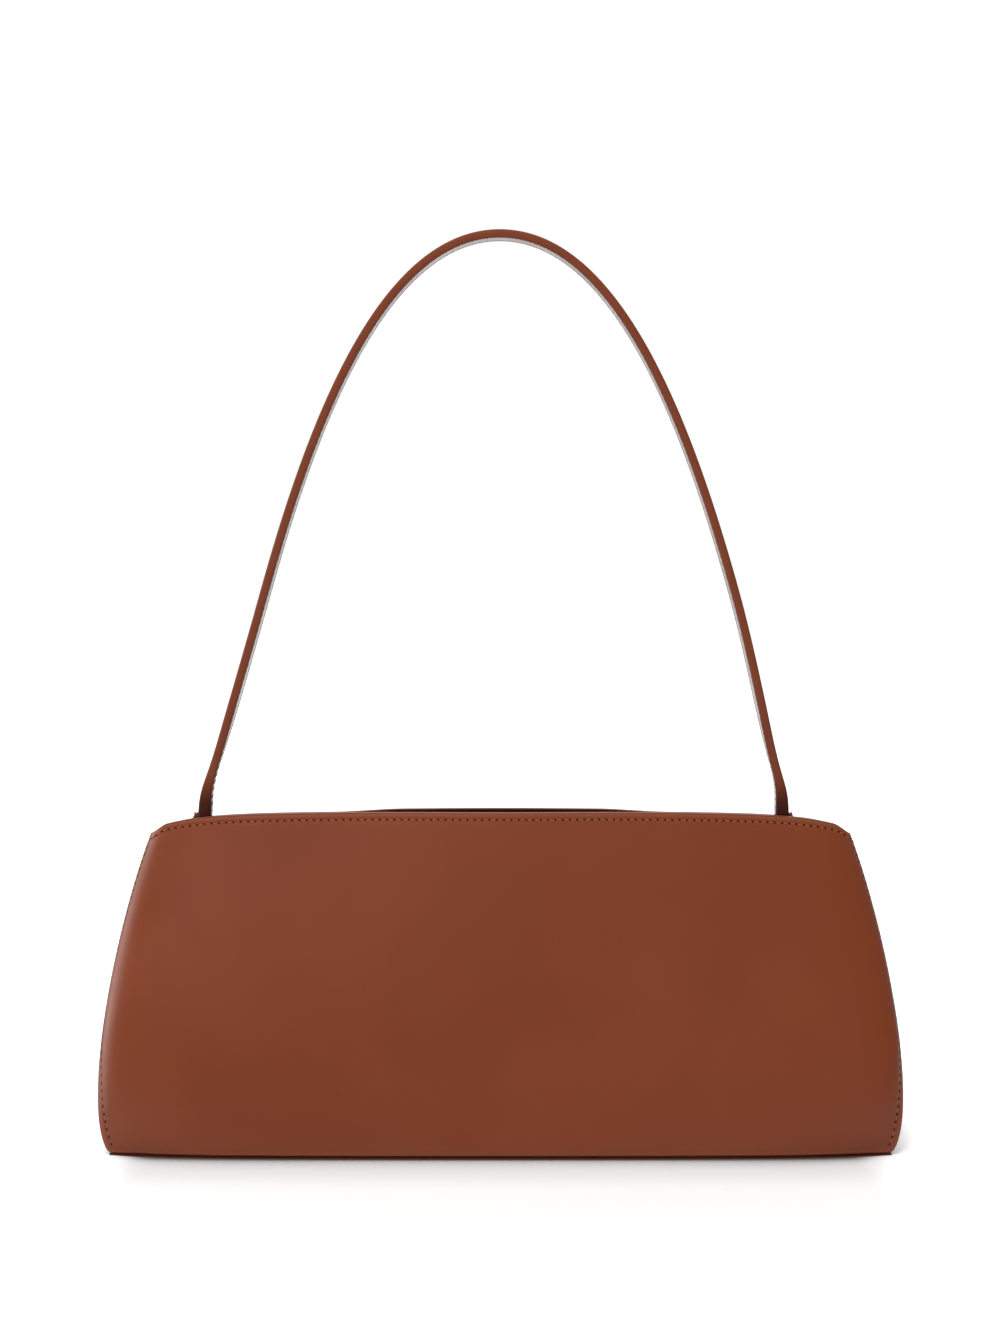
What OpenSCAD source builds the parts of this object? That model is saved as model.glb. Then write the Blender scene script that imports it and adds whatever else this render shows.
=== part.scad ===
// Baguette bag: an open-topped leather shoulder bag with folded end gussets and one slim strap.
// Millimetres. Origin at the centre of the underside, +Z up, front towards -Y, length along X.
// Each leather sheet is a grid of points on the curved side of the bag, set in by its own depth.
// A place on a side has a row t (0 at the base, 1 at the rim) and a station q (-1 left, 1 right).

/* [Body] */
// Half length of the body at the base corners
base_half_length = 155.5; // [120:0.5:190]
// How far the side outline's lower curve point lies outside the base corners
side_swell = 10.5; // [0:0.5:16]
// How far its upper curve point lies outside them
upper_swell = 4.5; // [0:0.5:12]
// Half length of the body at the ends of the rim
rim_half_length = 143; // [120:0.5:180]
// Height of the side outline's lower curve point
lower_curve_height = 15; // [8:0.5:24]
// Height of its upper curve point
upper_curve_height = 75.5; // [50:0.5:84]
// Height of the rim at its two ends
rim_end_height = 126; // [110:1:150]
// How much higher the rim is in the middle than at its ends
rim_crown = 7.3; // [0:0.1:14]
// Distance of the side seams from the middle plane at the base
base_half_depth = 42.4; // [30:0.2:60]
// How far the front and back bulge past the side seams at the base
base_bulge = 8; // [2:0.5:14]
// Depth of the seams' upper curve point: a larger one keeps the bag deep further up
seam_curve_depth = 17.8; // [12:0.2:24]
// Depth of the upper curve point of the front's and back's middle line
middle_curve_depth = 30.1; // [24:0.2:38]
// Distance of the side seams from the middle plane at the rim
rim_end_depth = 2; // [1.5:0.1:6]
// Distance of the rim from the middle plane beside the mouth
rim_half_gap = 7.6; // [7.2:0.1:14]
// How far the mouth pops open past that in the middle
mouth_pop = 2.4; // [0:0.1:10]
// Half length of the popped part of the mouth
mouth_half_length = 66; // [40:1:90]
// How much lower the back rim lies beside the popped part
back_rim_dip = 1.1; // [0:0.1:3]
// Distance from the middle at which that dip begins
dip_start = 40; // [30:1:60]

/* [Leather and lining] */
// Thickness of the body leather
leather = 1.3; // [0.9:0.1:2]
// Thickness of the gusset leather
gusset_leather = 1; // [0.7:0.1:1.6]
// Thickness of the rim reinforcement tape
tape_thickness = 0.6; // [0.5:0.1:1]
// Thickness of the facing leather
facing_leather = 1.1; // [0.8:0.1:1.4]
// Thickness of the lining
lining = 0.6; // [0.4:0.1:1]
// Height of the facing band below the rim
facing_height = 31; // [24:0.5:40]
// Height of the rim tape
tape_height = 7.6; // [5:0.2:12]

/* [Side seams and gussets] */
// Width of the gusset margin that is stitched behind the panel edge
seam_margin = 6; // [4:0.5:8]
// Distance from the seam edge at which facing and lining end
lining_inset = 16; // [14:0.5:20]
// How far the gusset runs on past its margin at the base before it turns to the fold
gusset_turn = 5.5; // [4:0.1:8]
// How far it runs on at the rim
gusset_rim_turn = 2.75; // [2:0.05:4]
// How far the gusset fold lies inside the base corners
fold_base_inset = 5; // [2:0.5:10]
// How far the gusset fold lies inside the ends of the rim
fold_top_inset = 21.5; // [17:0.5:30]
// How far the fold is pulled up above the rim ends by the strap
fold_lift = 10; // [0:0.5:12]

/* [Base] */
// Thickness of the stiffening board
board_thickness = 2; // [1:0.1:3]
// Inset of the board from the edge of the base
board_inset = 8; // [6:0.5:14]

/* [Strap] */
// Height of the top of the strap
strap_height = 373.6; // [300:1:480]
// How broad the top of the arch is, as the pull of its upper curve point
arch_top_pull = 76.5; // [60:0.5:90]
// How far each side leans in over its lower curve point
arch_side_lean = 14.8; // [8:0.2:24]
// Height of that curve point over the bend
arch_side_pull = 38.4; // [24:0.2:60]
// Width of the strap
strap_width = 16; // [10:0.5:22]
// Width of the pinched strap at its feet
foot_width = 7; // [5:0.2:8]
// Thickness of each strap leather
strap_leather = 1.4; // [1:0.1:2]
// Thickness of the tape between the strap leathers
strap_tape = 0.6; // [0.3:0.1:1]
// How much thicker each strap leather is at the pinched foot
foot_swell = 0.9; // [0:0.1:1.2]
// Height above the rim ends at which the strap bends
bend_height = 20; // [17:0.5:30]
// How far the strap's outer side lies inside the gusset fold where it bends
bend_inset = 2.2; // [0:0.1:5]
// Length of the strap that narrows towards each foot
pinch_length = 34; // [20:1:60]
// Thickness of the patch between gusset fold and strap tab
patch_leather = 0.8; // [0.6:0.1:1.2]

/* [Pocket] */
// Half length of the slip pocket
pocket_half_length = 65; // [50:0.5:80]
// How far the pocket's top edge lies below the facing
pocket_drop = 12.4; // [8:0.2:20]
// Height of the pocket
pocket_height = 63; // [50:0.5:66]
// Width of the edge that is sewn down at its sides and bottom
pocket_seam = 4.5; // [3:0.5:7]
// Height of the leather trim along its top edge
trim_height = 9; // [6:0.5:12]
// How far the pocket's top edge hangs off the lining in the middle
pocket_gape = 12; // [8:0.5:14]
// Thickness of the pocket cloth
pocket_cloth = 0.8; // [0.5:0.1:1.2]
// Thickness of the leather trim on the pocket's edge
trim_leather = 0.9; // [0.6:0.1:1.2]

/* [Magnetic snap] */
// Radius of each snap half
snap_radius = 8.5; // [6:0.1:10]
// Height of the socket half over the facing
snap_height = 2.2; // [1.6:0.1:2.6]
// Height of the stud half's plate
stud_plate_height = 1.1; // [0.8:0.1:1.6]
// Height of the stud's tip over the foot of the plate
stud_height = 3.1; // [2.4:0.1:3.4]
// Radius of the stud and of the ring's hole round it
stud_radius = 2.6; // [2:0.1:3.2]
// Radius of the rivet that goes through the facing
shank_radius = 1.6; // [1.2:0.1:2]
// How far the snap's centre lies below the ends of the rim
snap_drop = 21.6; // [18:0.2:22]
// Thickness of the washer behind the facing
washer_thickness = 0.4; // [0.3:0.1:0.5]
// Radius of the washer
washer_radius = 4.5; // [3:0.1:7]

/* [Hidden] */

// Colours of the finishes
calf = "#82442E";
calf_inside = "#6B3724";
cloth = "#5A3A28";
board_grey = "#8D8377";
brass = "#B59A5B";
steel = "#9A9C9E";

// Clearance between pieces that move apart
joint_gap = 0.3;
// Clearance between pieces that only lie beside each other
lay_gap = 0.1;
// How deep the stitches draw one sewn piece into the other
stitch_draw = 0.2;
// How far a cutter runs past the faces that it cuts
cut_past = 1;

FRONT = -1;
BACK = 1;
LEFT = -1;
RIGHT = 1;

// Height of a panel's bottom edge over the floor: it starts just above the base panel
panel_bottom = leather + joint_gap;
// Distances of the gusset fold from the middle at the base and at the rim
fold_base = base_half_length - fold_base_inset;
fold_top = rim_half_length - fold_top_inset;
// Half width of the strap's outer side where it bends
bend_half_span = fold_top - bend_inset;
// Depths of the layers behind a panel's outer surface: facing and lining, gusset margin
facing_depth = leather + tape_thickness;
margin_depth = leather + joint_gap;
// Rows of the lining, and of the facing below the tape
lining_row_count = 10;
facing_row_count = 2;
// Columns between the ends of the facing, in each of the two zones beyond it, and on the
// gusset's legs
inner_columns = 22;
end_columns = 3;
leg_columns = 7;

function mix(a, b, s) = a + (b - a) * s;
function clamp01(s) = max(0, min(1, s));
function smooth(s) = let (k = clamp01(s)) k * k * (3 - 2 * k);
function bezier(a, b, c, d, s) =
    a * pow(1 - s, 3) + 3 * b * s * pow(1 - s, 2) + 3 * c * s * s * (1 - s) + d * pow(s, 3);
function bezier_slope(a, b, c, d, s) =
    3 * (b - a) * pow(1 - s, 2) + 6 * (c - b) * s * (1 - s) + 3 * (d - c) * s * s;
function unit(v) = v / norm(v);
function left_of(v) = [-v.y, v.x];
function reversed(list) = [for (i = [len(list) - 1:-1:0]) list[i]];

// How far the sides and the middle bulge out above the base, as the pull of the curve
seam_bulge = 0.6;
middle_bulge = 1.6;

// Outline of the bag's end, row by row: half length, seam depth, middle depth and height
function half_length(t) = bezier(base_half_length, base_half_length + side_swell,
    base_half_length + upper_swell, rim_half_length, t);
function seam_depth(t) = bezier(base_half_depth, base_half_depth + seam_bulge,
    seam_curve_depth, rim_end_depth, t);
function middle_depth(t) = let (base = base_half_depth + base_bulge)
    bezier(base, base + middle_bulge, middle_curve_depth, rim_half_gap, t);
function row_height(t, start) =
    bezier(start, lower_curve_height, upper_curve_height, rim_end_height, t);

// Row of a side that lies at a height, found by halving
halvings = 24;
function row_at(z, low = 0, high = 1, left = halvings) = let (t = (low + high) / 2)
    left == 0 ? t
    : row_height(t, panel_bottom) < z ? row_at(z, t, high, left - 1)
    : row_at(z, low, t, left - 1);

// Rows of a side, from the base up, with breaks at the bottom of the facing and of the tape
facing_start = row_at(rim_end_height - facing_height);
tape_start = row_at(rim_end_height - tape_height);
lining_rows = [for (i = [0:lining_row_count - 1]) facing_start * i / lining_row_count];
facing_rows = [for (i = [0:facing_row_count - 1])
    mix(facing_start, tape_start, i / facing_row_count)];
side_rows = concat(lining_rows, facing_rows, [tape_start, 1]);

// How a row turns at the seam: the base's round corner reaches this far along the bag
corner_reach = 25;
// The corner's share of the rows, and how fast it fades over them
corner_rows = 0.45;
corner_fade = 1.2;
// How far the row's end is pulled back towards the seam at the base, half way up and at the rim
base_turn = 1;
side_turn = 15;
rim_turn = 8;
function end_pull_x(t) = corner_reach * pow(clamp01(1 - t / corner_rows), corner_fade);
function end_pull_y(t) = mix(base_turn, side_turn, smooth(t / corner_rows))
    - (side_turn - rim_turn) * smooth(2 * t - 1);

// Plan curve of one half of a row, from the middle (s = 0) to the seam edge (s = 1): straight
// along the middle for this share of its curve's reach
flat_reach = 0.75;
function plan_points(t) = let (l = half_length(t), y = seam_depth(t), c = middle_depth(t))
    [[0, c], [flat_reach * l, c], [l - end_pull_x(t), y + end_pull_y(t)], [l, y]];
function half_plan(s, t) = let (p = plan_points(t)) bezier(p[0], p[1], p[2], p[3], s);
function half_plan_slope(s, t) = let (p = plan_points(t))
    bezier_slope(p[0], p[1], p[2], p[3], s);
function plan_set_in(s, t, depth) =
    half_plan(s, t) - depth * left_of(unit(half_plan_slope(s, t)));

// Extra opening of the mouth, strongest at the rim
function pop(x, t) = mouth_pop * pow(t, 3) * (abs(x) < mouth_half_length
    ? pow(cos(90 * x / mouth_half_length), 2) : 0);
// Height that a row gains over its ends: a gentle crown that loses this share of its height
// slowly on the way out, and the rest steeply at its ends
crown_ease = 0.3;
crown_slow = 3;
crown_steep = 11;
function crown(x, t) = let (u = min(1, abs(x) / half_length(t)))
    rim_crown * pow(t, 2)
        * (1 - crown_ease * pow(u, crown_slow) - (1 - crown_ease) * pow(u, crown_steep));
// Length over which the back rim's dip comes in
dip_run = 30;
function dip(x, t, side) = side == BACK
    ? back_rim_dip * pow(t, 3) * smooth((abs(x) - dip_start) / dip_run) : 0;

// Point of a side at station q and row t, set in from the outer surface by a depth
function side_point(side, q, t, depth) =
    let (s = abs(q), p = plan_set_in(s, t, depth), x = half_plan(s, t).x)
    [sign(q) * p.x, side * (p.y + pop(x, t)),
        row_height(t, panel_bottom) + crown(x, t) - dip(x, t, side)];

// Station that lies a given distance from the seam edge, found in short steps
walk_steps = 12;
function station_at(distance, t, q = 1, left = walk_steps) = left == 0 ? q
    : station_at(distance, t, q - distance / walk_steps / norm(half_plan_slope(q, t)), left - 1);
// Station of a row that lies at a distance from the middle, found by halving
function station_at_x(x, t, low = 0, high = 1, left = halvings) = let (s = (low + high) / 2)
    left == 0 ? s
    : half_plan(s, t).x < x ? station_at_x(x, t, s, high, left - 1)
    : station_at_x(x, t, low, s, left - 1);

// Stations of a row between the ends of the facing and lining
function inner_stations(t) = let (e = station_at(lining_inset, t))
    [for (i = [0:inner_columns]) e * (2 * i / inner_columns - 1)];
// Stations of the stitched margin, from its inner side to the edge
function margin_stations(t) = let (m = station_at(seam_margin, t))
    [for (i = [0:end_columns]) mix(m, 1, i / end_columns)];
function zone_stations(t) =
    let (e = station_at(lining_inset, t), m = station_at(seam_margin, t))
    [for (i = [1:end_columns - 1]) mix(e, m, i / end_columns)];
function end_stations(t) = concat(zone_stations(t), margin_stations(t));
function panel_stations(t) =
    concat(-reversed(end_stations(t)), inner_stations(t), end_stations(t));

// Faces of a closed sheet made of two grids of points with equal rows and columns
function quad(a, b, c, d) = [[a, b, c], [a, c, d]];
function sheet_faces(rows, columns) =
    let (n = rows * columns, w = columns,
        top = (rows - 1) * columns, right = columns - 1)
    concat(
        [for (r = [0:rows - 2], c = [0:w - 2]) let (a = r * w + c)
            each quad(a, a + 1, a + w + 1, a + w)],
        [for (r = [0:rows - 2], c = [0:w - 2]) let (a = n + r * w + c)
            each [[a, a + w + 1, a + 1], [a, a + w, a + w + 1]]],
        [for (c = [0:w - 2]) each quad(n + c, n + c + 1, c + 1, c)],
        [for (c = [0:w - 2]) each quad(top + c, top + c + 1, n + top + c + 1, n + top + c)],
        [for (r = [0:rows - 2]) each quad(r * w, r * w + w, n + r * w + w, n + r * w)],
        [for (r = [0:rows - 2]) let (a = right + r * w) each quad(n + a, n + a + w, a + w, a)]);
function flipped(faces) = [for (f = faces) [f[2], f[1], f[0]]];

// A closed sheet between two grids; turned says that the first grid faces the other way
module sheet(first, second, turned) {
    faces = sheet_faces(len(first), len(first[0]));
    points = concat([for (row = first) each row], [for (row = second) each row]);
    polyhedron(points = points, faces = turned ? flipped(faces) : faces, convexity = 8);
}

// A layer of a side, over the given rows, between two depths behind the outer surface
module side_layer(side, rows, near, far, whole_width) {
    function stations(t) = whole_width ? panel_stations(t) : inner_stations(t);
    sheet([for (t = rows) [for (q = stations(t)) side_point(side, q, t, near)]],
        [for (t = rows) [for (q = stations(t)) side_point(side, q, t, far)]],
        side == FRONT);
}

// Place of a snap half: on the facing's inner surface, with +Z pointing into the bag
snap_row = row_at(rim_end_height - snap_drop);
function snap_centre(side) = side_point(side, 0, snap_row, facing_depth + facing_leather);
function snap_lean(side) =
    let (low = side_point(side, 0, facing_start, facing_depth),
        high = side_point(side, 0, tape_start, facing_depth))
    atan2(abs(high.y - low.y), high.z - low.z);
module at_snap(side) {
    translate(snap_centre(side))
        rotate([side == FRONT ? -90 - snap_lean(side) : 90 + snap_lean(side), 0, 0])
            children();
}

// Base outline: it follows the bottom edges of the two panels
function bottom_edge(side, inset) =
    [for (q = panel_stations(0)) let (p = side_point(side, q, 0, inset)) [p.x, p.y]];
module base_outline(inset) {
    polygon(concat(bottom_edge(FRONT, inset), reversed(bottom_edge(BACK, inset))));
}

module base_panel() {
    color(calf) linear_extrude(leather) base_outline(0);
}

// Outline of what lies on the base, between the side linings and between the gussets
module floor_outline(side_inset, end_inset) {
    half = fold_base - gusset_leather - lining - end_inset;
    intersection() {
        base_outline(facing_depth + lining + side_inset);
        square([2 * half, 4 * base_half_depth], center = true);
    }
}

module base_board() {
    color(board_grey) translate([0, 0, leather])
        linear_extrude(board_thickness) floor_outline(board_inset, board_inset);
}

module base_lining() {
    color(cloth) translate([0, 0, leather + board_thickness])
        linear_extrude(lining) floor_outline(joint_gap, gusset_turn);
}

module front_panel() {
    color(calf) side_layer(FRONT, side_rows, 0, leather, true);
}

module back_panel() {
    color(calf) side_layer(BACK, side_rows, 0, leather, true);
}

module rim_tape(side) {
    color(board_grey) side_layer(side, [tape_start, 1], leather, facing_depth, false);
}

module front_rim_tape() {
    rim_tape(FRONT);
}

module back_rim_tape() {
    rim_tape(BACK);
}

module facing(side) {
    color(calf_inside) difference() {
        side_layer(side, concat(facing_rows, [tape_start, 1]), facing_depth,
            facing_depth + facing_leather, false);
        at_snap(side)
            cylinder(h = 4 * facing_leather, r = shank_radius + lay_gap, center = true, $fn = 32);
    }
}

module front_facing() {
    facing(FRONT);
}

module back_facing() {
    facing(BACK);
}

module side_lining(side) {
    color(cloth) side_layer(side, concat(lining_rows, [facing_start]), facing_depth,
        facing_depth + lining, false);
}

module front_lining() {
    side_lining(FRONT);
}

module back_lining() {
    side_lining(BACK);
}

// Gusset fold: distance from the middle, row by row
function fold_place(t) = mix(fold_base, fold_top, smooth(t));
function fold_height(t) = row_height(t, leather) + fold_lift * t * t;
// How blunt the fold is: its curve's pull, as a share of the seam's depth and at least so much
fold_blunt = 0.35;
fold_blunt_least = 2.4;
// How late the leg's top edge rises to the fold
leg_rise = 1.5;

// Middle line of half a gusset at row t, as [x, y, z] points from the seam edge to the fold
function gusset_height(t, x) = row_height(t, leather) + crown(x, t);
function margin_line(t, depth) = [for (q = reversed(margin_stations(t)))
    let (p = plan_set_in(q, t, depth)) [p.x, p.y, gusset_height(t, half_plan(q, t).x)]];
function leg_line(t, depth) =
    let (m = station_at(seam_margin, t), start = plan_set_in(m, t, depth),
        turn = -mix(gusset_turn, gusset_rim_turn, t) * unit(half_plan_slope(m, t)),
        fold = [fold_place(t), 0],
        pull = [0, max(fold_blunt_least, fold_blunt * seam_depth(t))],
        low = gusset_height(t, half_plan(m, t).x))
    [for (i = [1:leg_columns])
        let (s = i / leg_columns, p = bezier(start, start + turn, fold + pull, fold, s))
        [p.x, p.y, mix(low, fold_height(t), pow(s, leg_rise))]];
function half_gusset_line(t) = let (d = margin_depth + gusset_leather / 2)
    concat(margin_line(t, d), leg_line(t, d));
// The back half mirrors the front one, and dips with the back rim
function whole_gusset_line(t) = let (half = half_gusset_line(t), n = len(half))
    concat([for (p = half) [p.x, -p.y, p.z]], [for (i = [n - 2:-1:0]) let (p = half[i])
        [p.x, p.y, p.z - dip(p.x, t, BACK) * (1 - i / (n - 1))]]);

// Unit normals of a plan line, pointing towards the outside of the bag
function line_normal(line, i) =
    let (a = line[max(0, i - 1)], b = line[min(len(line) - 1, i + 1)])
    -left_of(unit([b.x - a.x, b.y - a.y]));

// Grid of gusset points on one end, set in from the gusset's outer surface by a depth
function gusset_grid(end, rows, depth, skip) = [for (t = rows)
    let (line = whole_gusset_line(t), n = len(line))
    [for (i = [skip:n - 1 - skip])
        let (p = line[i], shift = (gusset_leather / 2 - depth) * line_normal(line, i))
        [end * (p.x + shift.x), p.y + shift.y, p.z]]];
module gusset_layer(end, rows, near, far, skip) {
    sheet(gusset_grid(end, rows, near, skip), gusset_grid(end, rows, far, skip), end == RIGHT);
}

module left_gusset() {
    color(calf) gusset_layer(LEFT, side_rows, 0, gusset_leather, 0);
}

module right_gusset() {
    color(calf) gusset_layer(RIGHT, side_rows, 0, gusset_leather, 0);
}

// The gusset lining ends below the strap tab, and some columns beside the stitched margins
gusset_lining_rows = [for (t = side_rows) if (t > 0 && t < facing_start) t];
lining_skip = end_columns + 2;
module gusset_lining(end) {
    color(cloth) gusset_layer(end, gusset_lining_rows, gusset_leather,
        gusset_leather + lining, lining_skip);
}

module left_gusset_lining() {
    gusset_lining(LEFT);
}

module right_gusset_lining() {
    gusset_lining(RIGHT);
}

// Reinforcing patch on the gusset fold, under the strap tab
patch_rows = [for (t = side_rows) if (t >= facing_start) t];
patch_skip = end_columns + 5;
module tab_patch(end) {
    color(calf_inside) gusset_layer(end, patch_rows, gusset_leather,
        gusset_leather + patch_leather, patch_skip);
}

module left_tab_patch() {
    tab_patch(LEFT);
}

module right_tab_patch() {
    tab_patch(RIGHT);
}

// The strap's outer surface, seen from the front: an arch from foot to foot
bend_z = rim_end_height + bend_height;
arch_apex = [0, strap_height];
arch_shoulder = [arch_top_pull, strap_height];
arch_side = [bend_half_span - arch_side_lean, bend_z + arch_side_pull];
arch_foot = [bend_half_span, bend_z];
function arch_point(s) = bezier(arch_apex, arch_shoulder, arch_side, arch_foot, s);
function arch_along(s) = unit(bezier_slope(arch_apex, arch_shoulder, arch_side, arch_foot, s));
foot_slope = arch_along(1);
foot_thickness = 2 * (strap_leather + foot_swell) + strap_tape;

// Share of the pinch at a height over the bend: 1 at the foot, 0 where the strap is flat
function pinch(z) = 1 - smooth((z - bend_z) / pinch_length);
function strap_half_width(z) = mix(strap_width, foot_width, pinch(z)) / 2;
function strap_layer_leather(z) = strap_leather + foot_swell * pinch(z);

// Half of the strap's stations: [place, direction, half width], with a round end past the bend
arch_steps = 26;
end_steps = 4;
// Angle that the round end turns through before it is cut off flat
end_angle = 80;
half_strap = concat(
    [for (i = [0:arch_steps]) let (s = i / arch_steps, p = arch_point(s))
        [p, arch_along(s), strap_half_width(p.y)]],
    [for (i = [1:end_steps]) let (a = end_angle * i / end_steps)
        [arch_foot + foot_slope * foot_width / 2 * sin(a), foot_slope,
            foot_width / 2 * cos(a)]]);
function strap_corner(station, near, far, side, end) =
    let (p = station[0], inward = -left_of(station[1]),
        q = p + inward * (near + far * strap_layer_leather(max(bend_z, p.y))))
    [end * q.x, side * station[2], q.y];
function strap_line(near, far, side) = concat(
    [for (st = reversed(half_strap)) strap_corner(st, near, far, side, LEFT)],
    [for (i = [1:len(half_strap) - 1]) strap_corner(half_strap[i], near, far, side, RIGHT)]);

// A layer of the strap; each depth is a fixed part plus a number of leather thicknesses
module strap_layer(near, near_leathers, far, far_leathers) {
    sheet([strap_line(near, near_leathers, FRONT), strap_line(near, near_leathers, BACK)],
        [strap_line(far, far_leathers, FRONT), strap_line(far, far_leathers, BACK)], true);
}

module strap_outer() {
    color(calf) strap_layer(0, 0, 0, 1);
}

module strap_core() {
    color(board_grey) strap_layer(0, 1, strap_tape, 1);
}

module strap_inner() {
    color(calf) strap_layer(strap_tape, 1, strap_tape, 2);
}

// Height of the strap's bending line: the middle of its thickness at the foot
swing_z = bend_z - foot_thickness / 2 * abs(foot_slope.x);
swing_radius = foot_width / 2 + foot_thickness / 2 * abs(foot_slope.x);
tab_top = swing_z - swing_radius - joint_gap;
function tab_face(t) = fold_place(t) - gusset_leather / 2 - patch_leather + stitch_draw;
function tab_ring(x, z, y) = [[x, -y, z], [x, y, z]];
function tab_side(inset, end) = concat(
    [for (t = patch_rows) tab_ring(end * (tab_face(t) - inset), fold_height(t), foot_width / 2)],
    [tab_ring(end * (tab_face(1) - inset), tab_top, foot_width / 2)]);
module strap_tab(end) {
    color(calf) sheet(tab_side(0, end), tab_side(foot_thickness, end), end == RIGHT);
}

module left_strap_tab() {
    strap_tab(LEFT);
}

module right_strap_tab() {
    strap_tab(RIGHT);
}

// Slip pocket on the back lining: sewn down at its sides and bottom, and open at the top
pocket_top = rim_end_height - facing_height - pocket_drop;
pocket_bottom = pocket_top - pocket_height;
pocket_start = row_at(pocket_bottom);
pocket_end = row_at(pocket_top);
pocket_depth = facing_depth + lining - stitch_draw / 2;
// Distances from the middle of the pocket's columns, and rows of the pocket and of its trim
pocket_free_half = pocket_half_length - pocket_seam;
pocket_columns = 8;
pocket_across = concat([-pocket_half_length],
    [for (i = [0:pocket_columns]) pocket_free_half * (2 * i / pocket_columns - 1)],
    [pocket_half_length]);
pocket_sewn = row_at(pocket_bottom + pocket_seam);
trim_start = row_at(pocket_top - trim_height);
pocket_row_count = 4;
pocket_rows = concat([pocket_start],
    [for (i = [0:pocket_row_count]) mix(pocket_sewn, trim_start, i / pocket_row_count)],
    [pocket_end]);
// How the pocket's front swells off the lining: up its height, and across from its sides
gape_rise = 1.2;
gape_round = 3;
function pocket_hang(x, t) =
    let (across = clamp01(abs(x) / pocket_free_half),
        up = clamp01((t - pocket_sewn) / (pocket_end - pocket_sewn)))
    pocket_gape * pow(up, gape_rise) * (1 - pow(across, gape_round));
function pocket_point(x, t, depth) = let (q = sign(x) * station_at_x(abs(x), t))
    side_point(BACK, q, t, depth + pocket_hang(x, t));
function pocket_grid(rows, depth) =
    [for (t = rows) [for (x = pocket_across) pocket_point(x, t, depth)]];

module slip_pocket() {
    color(cloth) sheet(pocket_grid(pocket_rows, pocket_depth),
        pocket_grid(pocket_rows, pocket_depth + pocket_cloth), false);
}

module pocket_trim() {
    trim_rows = [trim_start, pocket_end];
    color(calf_inside) sheet(pocket_grid(trim_rows, pocket_depth + pocket_cloth),
        pocket_grid(trim_rows, pocket_depth + pocket_cloth + trim_leather), false);
}

// Magnetic snap: a ring magnet in a cap on the front facing, a stud on the back one
// How far each half stands off the facing, so that its flat back clears the curved leather
snap_seat = 0.35;
// Wall of the cap round the magnet
cap_wall = 0.3;
// Clearance between the stud and the hole that it enters
stud_clearance = 0.3;
// How tightly the washer is pressed on, and how far the magnet stays inside its cap
press = 0.02;
function washer_z(side) =
    -(facing_leather + tape_thickness / 2) * cos(snap_lean(side)) - washer_thickness / 2;
module snap_shank(side) {
    translate([0, 0, washer_z(side)])
        cylinder(h = snap_seat + cap_wall / 2 - washer_z(side), r = shank_radius, $fn = 32);
}

module magnet_ring(grow) {
    ring_bottom = cap_wall - grow;
    ring_height = snap_height - 2 * cap_wall + 2 * grow;
    translate([0, 0, ring_bottom]) difference() {
        cylinder(h = ring_height, r = snap_radius - cap_wall + grow - lay_gap, $fn = 64);
        translate([0, 0, -cut_past])
            cylinder(h = ring_height + 2 * cut_past, $fn = 64,
                r = stud_radius + stud_clearance + cap_wall + lay_gap - grow);
    }
}

module front_snap_socket() {
    color(brass) at_snap(FRONT) {
        translate([0, 0, snap_seat]) difference() {
            cylinder(h = snap_height, r = snap_radius, $fn = 64);
            magnet_ring(0);
            translate([0, 0, cap_wall])
                cylinder(h = snap_height, r = stud_radius + stud_clearance, $fn = 64);
        }
        snap_shank(FRONT);
    }
}

module front_snap_magnet() {
    color(steel) at_snap(FRONT) translate([0, 0, snap_seat]) magnet_ring(-press);
}

module snap_washer(side) {
    color(steel) at_snap(side) translate([0, 0, washer_z(side)]) difference() {
        cylinder(h = washer_thickness, r = washer_radius, $fn = 48);
        translate([0, 0, -cut_past])
            cylinder(h = washer_thickness + 2 * cut_past, r = shank_radius - press, $fn = 48);
    }
}

module front_snap_washer() {
    snap_washer(FRONT);
}

module back_snap_stud() {
    color(brass) at_snap(BACK) {
        translate([0, 0, snap_seat]) {
            cylinder(h = stud_plate_height, r = snap_radius, $fn = 64);
            cylinder(h = stud_height, r = stud_radius, $fn = 48);
        }
        snap_shank(BACK);
    }
}

module back_snap_washer() {
    snap_washer(BACK);
}

base_panel();
base_board();
base_lining();
front_panel();
back_panel();
front_rim_tape();
back_rim_tape();
front_facing();
back_facing();
front_lining();
back_lining();
left_gusset();
right_gusset();
left_gusset_lining();
right_gusset_lining();
left_tab_patch();
right_tab_patch();
left_strap_tab();
right_strap_tab();
strap_outer();
strap_core();
strap_inner();
slip_pocket();
pocket_trim();
front_snap_socket();
front_snap_magnet();
front_snap_washer();
back_snap_stud();
back_snap_washer();
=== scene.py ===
"""Baguette bag: smooth calf sides on a flat base, folded end gussets and one slim strap.

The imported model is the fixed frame. Each leather or cloth solid is stood for by a finer sheet
with rounded edges that lies in the same place, and every seam gets its thread.
Sizes are in millimetres up to the point where a mesh is made, which is in metres.
"""
import logging
import math
from dataclasses import dataclass, field, replace
from enum import Enum
from typing import Callable

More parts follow.
